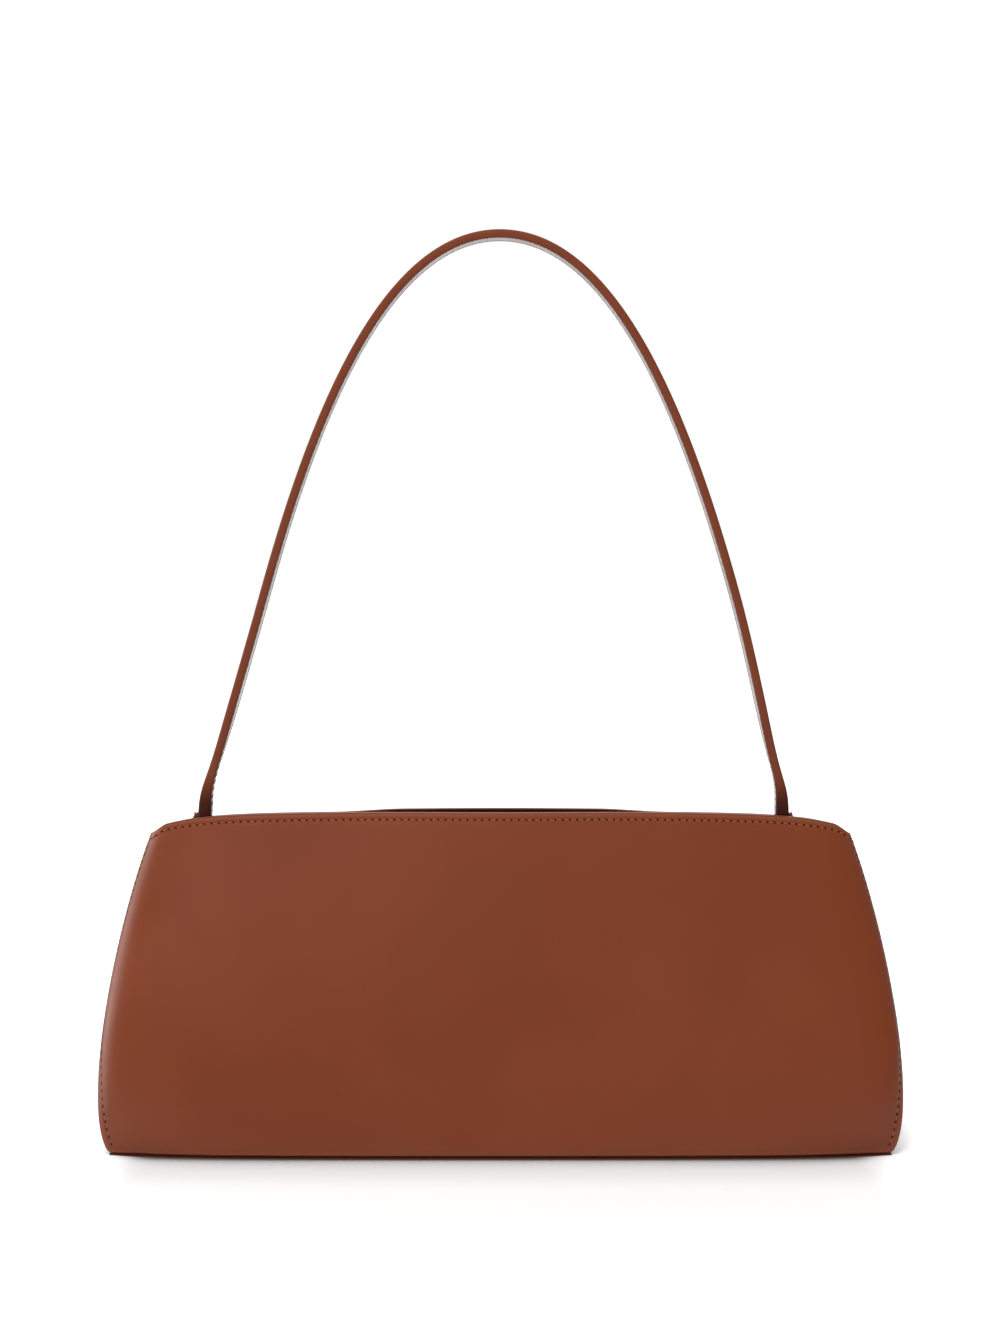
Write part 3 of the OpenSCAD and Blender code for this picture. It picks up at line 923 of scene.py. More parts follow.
@dataclass(frozen=True)
class WovenTape:
    """Woven nylon reinforcing tape: pale and matte.

    Its cross ribs are about 0.5 mm apart, and are drawn at 1.8 mm so that they show at all.
    """

    name: str = "woven_tape"
    colour: str = "#A89F90"
    rib: str = "#BFB6A6"
    rib_mm: float = 1.776
    rib_depth_mm: float = 0.1

    def build(self) -> bpy.types.Material:
        """Make the material.

        Returns:
            The material.
        """
        made, tree = begin_material(self.name)
        cut = add_node(tree, "ShaderNodeUVMap", {"uv_map": "cut"}).outputs["UV"]
        ribs = add_node(tree, "ShaderNodeTexWave", {"bands_direction": "X"}, {
            "Vector": cut, "Scale": per_metre(self.rib_mm) * STRAIGHT_BAND,
            "Distortion": 0.3}).outputs["Fac"]
        colour = add_node(tree, "ShaderNodeMix", COLOURS, {
            SHARE: ribs, FIRST: linear(self.colour), SECOND: linear(self.rib)}).outputs[MIXED]
        relief = add_node(tree, "ShaderNodeBump", inputs={
            "Height": ribs, "Distance": self.rib_depth_mm * MM}).outputs["Normal"]
        finish_material(tree, {"Base Color": colour, "Roughness": 0.7, "Normal": relief})
        return made


@dataclass(frozen=True)
class BagBoard:
    """Grey board of pressed fibre: flecked and matte."""

    name: str = "bag_board"
    colour: str = "#8A8176"
    fleck: str = "#776D61"
    fleck_mm: float = 2.0
    fibre_mm: float = 1.2
    fibre_depth_mm: float = 0.08

    def build(self) -> bpy.types.Material:
        """Make the material.

        Returns:
            The material.
        """
        made, tree = begin_material(self.name)
        fibre, = noises(tree, (self.fibre_mm, 4.0))
        place = add_node(tree, "ShaderNodeTexCoord").outputs["Object"]
        patch = add_node(tree, "ShaderNodeTexNoise", inputs={
            "Vector": place, "Scale": per_metre(self.fleck_mm), "Detail": 4.0,
            "Roughness": 0.7}).outputs["Fac"]
        flecks = add_node(tree, "ShaderNodeMapRange", EASED, {
            "Value": patch, "From Min": 0.45, "From Max": 0.65}).outputs["Result"]
        colour = add_node(tree, "ShaderNodeMix", COLOURS, {
            SHARE: flecks, FIRST: linear(self.colour),
            SECOND: linear(self.fleck)}).outputs[MIXED]
        relief = add_node(tree, "ShaderNodeBump", inputs={
            "Height": fibre, "Distance": self.fibre_depth_mm * MM}).outputs["Normal"]
        finish_material(tree, {"Base Color": colour, "Roughness": 0.9, "Normal": relief})
        return made


@dataclass(frozen=True)
class PlatedMetal:
    """Stamped metal, barrel finished and plated: satin, with fine scratches."""

    name: str = "satin_brass"
    colour: str = "#C6A15F"
    shade: str = "#B08A4A"
    roughness: float = 0.28
    scratch_mm: float = 1.5
    scratch_depth_mm: float = 0.01
    scratch_stretch: float = 6.0

    def build(self) -> bpy.types.Material:
        """Make the material.

        Returns:
            The material.
        """
        made, tree = begin_material(self.name)
        place = add_node(tree, "ShaderNodeTexCoord").outputs["Object"]
        stretched = add_node(tree, "ShaderNodeMapping", inputs={
            "Vector": place, "Scale": (1.0, self.scratch_stretch, 1.0)}).outputs["Vector"]
        scratch = add_node(tree, "ShaderNodeTexNoise", inputs={
            "Vector": stretched, "Scale": per_metre(self.scratch_mm),
            "Detail": 5.0}).outputs["Fac"]
        colour = add_node(tree, "ShaderNodeMix", COLOURS, {
            SHARE: scratch, FIRST: linear(self.shade),
            SECOND: linear(self.colour)}).outputs[MIXED]
        rough = add_node(tree, "ShaderNodeMapRange", EASED, {
            "Value": scratch, "From Min": 0.3, "From Max": 0.7, "To Min": self.roughness - 0.06,
            "To Max": self.roughness + 0.08}).outputs["Result"]
        relief = add_node(tree, "ShaderNodeBump", inputs={
            "Height": scratch, "Distance": self.scratch_depth_mm * MM}).outputs["Normal"]
        finish_material(tree, {"Base Color": colour, "Metallic": 1.0, "Roughness": rough,
                               "Normal": relief})
        return made


class Wardrobe:
    """All finishes, made once."""

    def __init__(self) -> None:
        """Make every material."""
        self.calf = SmoothCalf().build()
        # The base's dark edge colour is painted shade, where its edge meets the floor.
        self.base = SmoothCalf("base_calf", worn="#4A1508").build()
        self.facing = SmoothCalf("facing_calf", "#2B1A12", "#26160F", "#382319", 0.6, 0.15).build()
        outer = SmoothCalf("strap_calf", "#7B3F29", "#743820", "#84472F", 0.38, 0.4)
        self.strap = outer.build()
        self.strap_lining = replace(outer, name="strap_lining_calf", roughness=0.22, gloss=0.5,
                                    pore_depth_mm=0.003).build()
        self.paint = EdgePaint().build()
        # The seam edges' paint is lighter than the rim's: a painted highlight along the bag's
        # outline.
        self.seam_paint = EdgePaint("seam_edge_paint", "#8A4A33", 0.35, 0.55).build()
        # The strap's edge paint darkens at its feet: painted shade.
        self.strap_paint = EdgePaint("strap_edge_paint", "#763B25", 0.45, 0.15,
                                     foot="#3E1508").build()
        self.thread = SewingThread().build()
        self.hole = NeedleHole().build()
        self.twill = LiningTwill().build()
        self.tape = WovenTape().build()
        self.board = BagBoard().build()
        self.brass = PlatedMetal().build()
        self.steel = PlatedMetal("zinc_steel", "#A9ABAD", "#8F9194", 0.34).build()


def dress(piece: bpy.types.Object, *finishes: bpy.types.Material) -> bpy.types.Object:
    """Give a piece its materials in place of any it has.

    Args:
        piece: Object that is dressed.
        finishes: Its materials, in the order of its slots.

    Returns:
        The same object.
    """
    piece.data.materials.clear()
    for finish in finishes:
        piece.data.materials.append(finish)
    return piece


# Stitches


@dataclass(frozen=True)
class StitchStyle:
    """Sizes of one kind of stitch, in millimetres and degrees."""

    pitch: float = 3.0
    length: float = 2.1
    width: float = 0.52
    height: float = 0.46
    slant: float = 9.0
    hole_length: float = 1.15
    hole_width: float = 0.7
    hole_slant: float = -38.0


class StitchTree:
    """Geometry Nodes tree that sews along a path whose points carry the surface's normal."""

    SIZES = {"Pitch": "pitch", "Length": "length", "Width": "width", "Height": "height",
             "Hole Length": "hole_length", "Hole Width": "hole_width"}
    ANGLES = {"Slant": "slant", "Hole Slant": "hole_slant"}
    SEED = 7
    WANDER = 0.07
    HOLE_LIFT = 0.03 * MM

    def __init__(self, wardrobe: Wardrobe) -> None:
        """Build the tree.

        Args:
            wardrobe: The finishes, for the thread and the needle holes.
        """
        self.wardrobe = wardrobe
        tree = bpy.data.node_groups.new("seam_stitches", "GeometryNodeTree")
        tree.is_modifier = True
        self.tree, self.sockets = tree, {}
        tree.interface.new_socket("Geometry", in_out="INPUT", socket_type="NodeSocketGeometry")
        tree.interface.new_socket("Geometry", in_out="OUTPUT", socket_type="NodeSocketGeometry")
        for name in (*self.SIZES, *self.ANGLES):
            made = tree.interface.new_socket(name, in_out="INPUT", socket_type="NodeSocketFloat")
            self.sockets[name] = made.identifier
        for name in ("Thread", "Hole"):
            made = tree.interface.new_socket(name, in_out="INPUT", socket_type="NodeSocketMaterial")
            self.sockets[name] = made.identifier
        self._join()

    def _join(self) -> None:
        """Make the nodes and link them up."""
        tree = self.tree
        given = add_node(tree, "NodeGroupInput").outputs
        curve = add_node(tree, "GeometryNodeMeshToCurve", inputs={"Mesh": given["Geometry"]})
        points = add_node(tree, "GeometryNodeResampleCurve", {"mode": "LENGTH"}, {
            "Curve": curve.outputs[0], "Length": given["Pitch"]}).outputs[0]
        out = add_node(tree, "GeometryNodeInputNamedAttribute", {"data_type": "FLOAT_VECTOR"},
                       {"Name": "seam_normal"}).outputs[0]
        along = add_node(tree, "GeometryNodeInputTangent").outputs[0]
        upright = add_node(tree, "FunctionNodeAlignRotationToVector", {"axis": "Z"},
                           {"Vector": out}).outputs[0]
        turned = add_node(tree, "FunctionNodeAlignRotationToVector",
                          {"axis": "X", "pivot_axis": "Z"},
                          {"Rotation": upright, "Vector": along}).outputs[0]
        half = add_node(tree, "ShaderNodeMath", {"operation": "MULTIPLY"},
                        {0: given["Pitch"], 1: 0.5}).outputs[0]
        ball = add_node(tree, "GeometryNodeMeshUVSphere",
                        inputs={"Segments": 8, "Rings": 6, "Radius": 0.5}).outputs["Mesh"]
        bead_size = add_node(tree, "ShaderNodeCombineXYZ", inputs={
            0: given["Length"], 1: given["Width"], 2: given["Height"]}).outputs[0]
        bead = add_node(tree, "GeometryNodeTransform", inputs={
            "Geometry": ball, "Scale": bead_size}).outputs[0]
        # Each needle hole is a flat dark disc on the surface: painted shade.
        disc = add_node(tree, "GeometryNodeMeshCircle", {"fill_type": "NGON"},
                        {"Vertices": 10, "Radius": 0.5}).outputs[0]
        pit_size = add_node(tree, "ShaderNodeCombineXYZ", inputs={
            0: given["Hole Length"], 1: given["Hole Width"], 2: 1.0}).outputs[0]
        pit = add_node(tree, "GeometryNodeTransform", inputs={
            "Geometry": disc, "Translation": (0.0, 0.0, self.HOLE_LIFT),
            "Scale": pit_size}).outputs[0]
        wander = add_node(tree, "FunctionNodeRandomValue", {"data_type": "FLOAT"},
                          {2: -self.WANDER, 3: self.WANDER, "Seed": self.SEED})
        lean = add_node(tree, "ShaderNodeMath", {"operation": "ADD"},
                        {0: given["Slant"], 1: wander.outputs[1]}).outputs[0]
        threads = self._set(points, turned, bead, half, lean, given["Thread"])
        holes = self._set(points, turned, pit, 0.0, given["Hole Slant"], given["Hole"])
        both = add_node(tree, "GeometryNodeJoinGeometry")
        tree.links.new(holes, both.inputs[0])
        tree.links.new(threads, both.inputs[0])
        result = add_node(tree, "NodeGroupOutput")
        tree.links.new(both.outputs[0], result.inputs[0])

    def _set(self, points: bpy.types.NodeSocket, turn: bpy.types.NodeSocket,
             shape: bpy.types.NodeSocket, forward: object, angle: bpy.types.NodeSocket,
             finish: bpy.types.NodeSocket) -> bpy.types.NodeSocket:
        """Set a shape at every point, then turn, realize and finish it.

        Args:
            points: The points.
            turn: Rotation that lays a shape on the surface, along the seam.
            shape: The shape.
            forward: How far it is moved along the seam.
            angle: How far it is turned on the surface.
            finish: Its material.

        Returns:
            The shapes as one mesh.
        """
        tree = self.tree
        ahead = add_node(tree, "ShaderNodeCombineXYZ", inputs={0: forward}).outputs[0]
        twist = add_node(tree, "ShaderNodeCombineXYZ", inputs={2: angle}).outputs[0]
        placed = add_node(tree, "GeometryNodeInstanceOnPoints", inputs={
            "Points": points, "Instance": shape, "Rotation": turn}).outputs[0]
        moved = add_node(tree, "GeometryNodeTranslateInstances", inputs={
            "Instances": placed, "Translation": ahead}).outputs[0]
        leant = add_node(tree, "GeometryNodeRotateInstances", inputs={
            "Instances": moved, "Rotation": twist}).outputs[0]
        real = add_node(tree, "GeometryNodeRealizeInstances", inputs={0: leant}).outputs[0]
        even = add_node(tree, "GeometryNodeSetShadeSmooth", inputs={"Geometry": real}).outputs[0]
        return add_node(tree, "GeometryNodeSetMaterial",
                        inputs={"Geometry": even, "Material": finish}).outputs[0]

    def sew(self, name: str, seams: list[tuple[Array, Array]],
            style: StitchStyle = StitchStyle()) -> bpy.types.Object:
        """Sew along one or more paths.

        Args:
            name: Name of the piece.
            seams: Points in millimetres and their normals, one pair for each path.
            style: Sizes of the stitch.

        Returns:
            The stitches as one plain mesh.
        """
        points = np.concatenate([path for path, _ in seams]) * MM
        normals = np.concatenate([normal for _, normal in seams])
        edges, first = [], 0
        for path, _ in seams:
            edges += [(first + i, first + i + 1) for i in range(len(path) - 1)]
            first += len(path)
        mesh = bpy.data.meshes.new(f"{name}_path")
        mesh.from_pydata(points.tolist(), edges, [])
        kept = mesh.attributes.new("seam_normal", "FLOAT_VECTOR", "POINT")
        kept.data.foreach_set("vector", normals.astype(np.float32).ravel())
        piece = new_object(name, mesh)
        modifier = piece.modifiers.new("stitches", "NODES")
        modifier.node_group = self.tree
        for label, size in self.SIZES.items():
            modifier[self.sockets[label]] = getattr(style, size) * MM
        for label, angle in self.ANGLES.items():
            modifier[self.sockets[label]] = math.radians(getattr(style, angle))
        modifier[self.sockets["Thread"]] = self.wardrobe.thread
        modifier[self.sockets["Hole"]] = self.wardrobe.hole
        graph = bpy.context.evaluated_depsgraph_get()
        result = bpy.data.meshes.new_from_object(piece.evaluated_get(graph))
        piece.modifiers.clear()
        piece.data = result
        result.name = name
        return piece


# The sides


Relief = Callable[[Array, Array, Array, Array, Array], Array]


@dataclass(frozen=True)
class SideSheet:
    """A sheet that follows one side of the body, between two depths and two rows.

    The marks are distances from an edge at which the relief needs a row or column of points.
    Over its last stretch the rows draw together, so that they lie even with the top edge.
    """

    side: Side
    near: float
    far: float
    low: float
    high: float = 1.0
    inset: float = 0.0
    columns: int = 110
    rows: int = 40
    end_marks: tuple[float, ...] = ()
    high_marks: tuple[float, ...] = ()
    low_marks: tuple[float, ...] = ()
    relief: Relief | None = None
    even_top: float = 14.0

    def build(self, name: str) -> bpy.types.Object:
        """Make the sheet.

        Args:
            name: Name of the piece.

        Returns:
            The object.
        """
        radius = (self.far - self.near) / 2
        marks = edge_marks(radius)
        ends = np.array(sorted({*marks, *self.end_marks}))
        highs = np.array(sorted({*marks, *self.high_marks}))
        lows = np.array(sorted({*marks, *self.low_marks}))
        low_speed, high_speed = FORM.speed(0.0, self.low), FORM.speed(0.0, self.high - STEP)
        first, last = self.low + lows / low_speed, self.high - highs[::-1] / high_speed
        between = np.linspace(first[-1], last[0], self.rows + 2)[1:-1]
        rows = np.concatenate([first, between, last])
        q = []
        for t in rows:
            edge = FORM.station_at(ends + self.inset, t)
            middle = np.linspace(-edge[-1], edge[-1], self.columns + 2)[1:-1]
            q.append(np.concatenate([-edge, middle, edge[::-1]]))
        q = np.array(q)
        from_end = np.full(q.shape[1], FAR)
        from_end[:len(ends)], from_end[-len(ends):] = ends, ends[::-1]
        d_end = np.broadcast_to(from_end, q.shape)
        d_low = np.broadcast_to(((rows - self.low) * low_speed)[:, None], q.shape)
        d_high = np.broadcast_to(((self.high - rows) * high_speed)[:, None], q.shape)
        share = high_speed / FORM.speed(q[-1], self.high - STEP)
        near_top = smooth(1 - d_high / self.even_top)
        t = self.high - (self.high - rows)[:, None] * mix(1, share[None], near_top)
        edge = np.minimum(np.minimum(d_end, d_low), d_high)
        drawn = rounding(edge, radius)
        x = FORM.plan(np.abs(q), t)[..., 0] * np.sign(q)
        z = FORM.row_height(t, FORM.plain_bottom)
        extra = 0 * x if self.relief is None else self.relief(x, z, d_end, d_low, d_high)
        outer = FORM.point(self.side, q, t, self.near + drawn + extra)
        inner = FORM.point(self.side, q, t, self.far - drawn + extra)
        return sheet_object(name, outer, inner, edge)


def settle(piece: bpy.types.Object, body: str, finish: bpy.types.Material | None,
           nodes: tuple[str, ...] = ()) -> bpy.types.Object:
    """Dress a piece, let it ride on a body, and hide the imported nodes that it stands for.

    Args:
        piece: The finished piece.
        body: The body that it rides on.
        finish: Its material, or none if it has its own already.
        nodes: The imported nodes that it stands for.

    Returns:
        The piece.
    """
    if finish is not None:
        dress(piece, finish)
    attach(piece, body)
    if nodes:
        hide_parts(*nodes)
    log.info("%s rides on %s", piece.name, body)
    return piece


@dataclass
class SideWall:
    """One long side: leather panel, tape, facing, lining, painted edges and stitches."""

    SIDE_SEAM = StitchStyle(length=1.9, width=0.45, height=0.2, hole_length=1.15, hole_width=0.95)
    PANEL_MARKS = (0.2, 0.6, 1.2, 1.9, 2.4, 2.8, 3.05, 3.3, 3.55, 3.8, 4.2, 4.8, 5.8, 7.5, 10.0,
                   13.0)
    PANEL_END_MARKS = PANEL_MARKS + (17.0, 21.0, 25.0, 30.0)
    FOOT_MARKS = (0.3, 0.8, 1.2, 1.6, 2.0, 2.4, 2.8, 3.4, 4.5, 6.5, 9.5)

    side: Side
    wardrobe: Wardrobe
    stitches: StitchTree
    stitch_inset: float = 2.8
    seam_inset: float = 3.2
    seam_shift: float = 1.5
    seam_shift_from: float = 36.0
    seam_shift_run: float = 30.0
    channel_width: float = 0.7
    channel_depth: float = 0.2
    roll: float = 1.0
    roll_height: float = 2.8
    wave_height: float = 0.16
    tape_fit: tuple[float, float] = (0.05, 0.03)
    lining_low: float = 3.4
    ripple_height: float = 0.35
    ripple_fade: float = 14.0
    bead: float = 0.42
    bead_sink: float = 0.12
    rim_overhang: float = 0.05
    seam_overhang: float = 0.03
    facing_end: float = 126.5
    facing_fade: float = 3.0
    thread_sink: float = 0.14
    seam_thread_sink: float = 0.19
    rim_seam_end: float = 2.6
    facing_seam_end: float = 2.0
    facing_seam: float = 2.2
    side_seam_low: float = 4.6
    side_seam_top: float = 6.4

    def build(self) -> None:
        """Make every piece of this side."""
        self.panel()
        self.tape()
        self.facing()
        self.lining()
        self.edges()
        self.seams()

    def seam_place(self, z: Array) -> Array:
        """Distance of the side seam's stitches from the edge: a little less higher up."""
        higher = smooth((z - self.seam_shift_from) / self.seam_shift_run)
        return self.seam_inset - self.seam_shift * higher

    def relief(self, x: Array, z: Array, d_end: Array, d_low: Array, d_high: Array) -> Array:
        """Depth of the panel's surface below its plain form: channels, rolled foot, slow waves.

        Args:
            x: Distances to the right of the middle.
            z: Heights.
            d_end: Distances from the side seam's edge.
            d_low: Distances from the bottom edge.
            d_high: Distances from the rim.

        Returns:
            The depths.
        """
        width, depth = self.channel_width, self.channel_depth
        rim = groove(d_high, self.stitch_inset, width, depth) * smooth((d_end - 1) / 3)
        seam = groove(d_end, self.seam_place(z), width, depth) * smooth((d_high - 2) / 3)
        foot = rounding(d_low, self.roll_height) * self.roll / self.roll_height
        foot = foot * smooth((d_end - 3) / 9)
        fade = smooth((np.minimum(d_high, d_end) - 5) / 30) * smooth((d_low - 4) / 20)
        wave = np.sin(x / 41 + 0.8) * np.sin(z / 27 + 0.5) + 0.6 * np.sin(x / 23 - z / 36)
        return rim + seam + foot + self.wave_height * wave * fade

    def panel(self) -> None:
        """The outer leather."""
        sheet = SideSheet(self.side, 0.0, FORM.leather, 0.0, columns=150, rows=60,
                          end_marks=self.PANEL_END_MARKS, high_marks=self.PANEL_MARKS,
                          low_marks=self.FOOT_MARKS, relief=self.relief)
        name = f"{self.side.label}_panel"
        settle(sheet.build(f"{name}_leather"), self.side.body, self.wardrobe.calf,
               (name,))

    def tape(self) -> None:
        """The reinforcing tape between panel and facing."""
        near, far = self.tape_fit
        sheet = SideSheet(self.side, FORM.leather + near, FORM.facing_depth - far,
                          FORM.tape_start, 0.995, FORM.lining_inset, 90, 4)
        name = f"{self.side.label}_rim_tape"
        settle(sheet.build(f"{name}_web"), self.side.body, self.wardrobe.tape,
               (name,))

    def facing(self) -> None:
        """The leather band inside the rim."""
        near = FORM.facing_depth
        sheet = SideSheet(self.side, near, near + FORM.facing_leather, FORM.facing_start, 1.0,
                          FORM.lining_inset, 130, 16, end_marks=(1.0, 2.0, 4.0),
                          high_marks=(1.0, 2.2, 3.3, 4.4, 6.0), low_marks=(1.0, 2.0, 3.0, 4.5))
        name = f"{self.side.label}_facing"
        settle(sheet.build(f"{name}_leather"), self.side.body, self.wardrobe.facing,
               (name,))

    def lining(self) -> None:
        """The cloth below the facing, tucked under the base lining."""
        near = FORM.facing_depth
        low = FORM.row_at(self.lining_low)

        def ripple(x: Array, z: Array, d_end: Array, d_low: Array, d_high: Array) -> Array:
            """Slow slack in the cloth, none at its edges.

            Args:
                x: Distance from the middle, mm.
                z: Height, mm.
                d_end: Distance from the ends, mm.
                d_low: Distance from the lower edge, mm.
                d_high: Distance from the upper edge, mm.

            Returns:
                The slack, mm.
            """
            fade = smooth(np.minimum(np.minimum(d_end, d_low), d_high) / self.ripple_fade)
            wave = 1 + np.sin(x / 9 + np.sin(z / 14)) * np.sin(z / 19 + 1)
            return self.ripple_height * fade * wave

        sheet = SideSheet(self.side, near, near + FORM.lining, low, FORM.facing_start - 0.002,
                          FORM.lining_inset, 110, 40, end_marks=(1.0, 2.0, 4.0, 7.0, 10.0, 14.0),
                          relief=ripple)
        name = f"{self.side.label}_lining"
        piece = settle(sheet.build(f"{name}_cloth"), self.side.body, self.wardrobe.twill,
                       (name,))

    def edges(self) -> None:
        """Painted edges: along the rim, and down both side seams."""
        side, name = self.side, self.side.label
        q = np.linspace(-1, 1, 300) * FORM.station_at(0.7, 1.0)
        reach = np.abs(FORM.plan(np.abs(q), 1.0)[..., 0])
        full = smooth((self.facing_end - reach) / self.facing_fade)
        depth = mix(FORM.leather, FORM.facing_depth + FORM.facing_leather, full)
        speed = FORM.speed(q, 0.999)
        path = FORM.point(side, q, 1 - self.bead_sink / speed, depth / 2)
        width = FORM.point(side, q, 1.0, 0) - FORM.point(side, q, 1.0, 1)
        up = unit(FORM.point(side, q, 1.0, 0) - FORM.point(side, q, 0.99, 0))
        half = depth / 2 + self.rim_overhang
        bead = bead_object(f"{name}_rim_edge", path, width * half[:, None], up * self.bead)
        settle(bead, side.body, self.wardrobe.paint)
        for end in End:
            t = np.linspace(0.012, 0.985, 160)
            layers = FORM.leather + FORM.gap + FORM.gusset_leather
            inset = np.array([FORM.station_at(np.array(self.bead_sink), row) for row in t])
            outward = self._outward(end, t)
            path = FORM.point(side, end.value * inset, t, layers / 2)
            width = FORM.point(side, end.value * inset, t, 0) - FORM.point(
                side, end.value * inset, t, 1)
            bead = bead_object(f"{name}_{end.label}_seam_edge", path,
                               width * (layers / 2 + self.seam_overhang), outward * self.bead)
            settle(bead, side.body, self.wardrobe.seam_paint)

    def _outward(self, end: End, t: Array) -> Array:
        """Direction along a side that leads out over its seam edge.

        Args:
            end: End of the bag.
            t: Row.

        Returns:
            Unit vectors.
        """
        last = FORM.point(self.side, end.value, t, FORM.leather)
        before = FORM.point(self.side, end.value * 0.995, t, FORM.leather)
        return unit(last - before)

    def line(self, q: Array, t: Array, depth: float, inward: bool = False
             ) -> tuple[Array, Array]:
        """Path on this side with its normals.

        Args:
            q: Stations of its points.
            t: Rows of its points.
            depth: Depth behind the outer surface.
            inward: Whether the stitches face the inside of the bag.

        Returns:
            Points in millimetres, and unit normals.
        """
        normal = FORM.normal(self.side, q, np.minimum(t, 0.998))
        return FORM.point(self.side, q, t, depth), -normal if inward else normal

    def seams(self) -> None:
        """Thread along the rim, down the side seams, and along the facing's bottom edge."""
        side, name = self.side, self.side.label
        reach = FORM.station_at(self.rim_seam_end, 1.0)
        q = np.linspace(-reach, reach, 320)
        t = 1 - self.stitch_inset / FORM.speed(q, 0.995)
        rim = self.line(q, t, self.thread_sink)
        piece = self.stitches.sew(f"{name}_rim_stitches", [rim])
        settle(piece, side.body, None)
        inner = FORM.facing_depth + FORM.facing_leather
        reach = FORM.station_at(FORM.lining_inset + self.facing_seam_end, 1.0)
        q = np.linspace(-reach, reach, 300)
        top = self.line(q, 1 - self.stitch_inset / FORM.speed(q, 0.995), inner, True)
        foot = FORM.facing_start + self.facing_seam / FORM.speed(q, FORM.facing_start)
        low = self.line(q, foot, inner, True)
        piece = self.stitches.sew(f"{name}_facing_stitches", [top, low])
        settle(piece, side.body, None)
        t = np.linspace(FORM.row_at(self.side_seam_low),
                        1 - self.side_seam_top / FORM.speed(0.98, 0.99), 200)
        place = self.seam_place(FORM.row_height(t, FORM.plain_bottom))
        inset = np.array([FORM.station_at(gap, row) for gap, row in zip(place, t)])
        seams = [self.line(end.value * inset, t, self.seam_thread_sink) for end in End]
        piece = self.stitches.sew(f"{name}_side_seam_stitches", seams, self.SIDE_SEAM)
        settle(piece, side.body, None)


# The ends


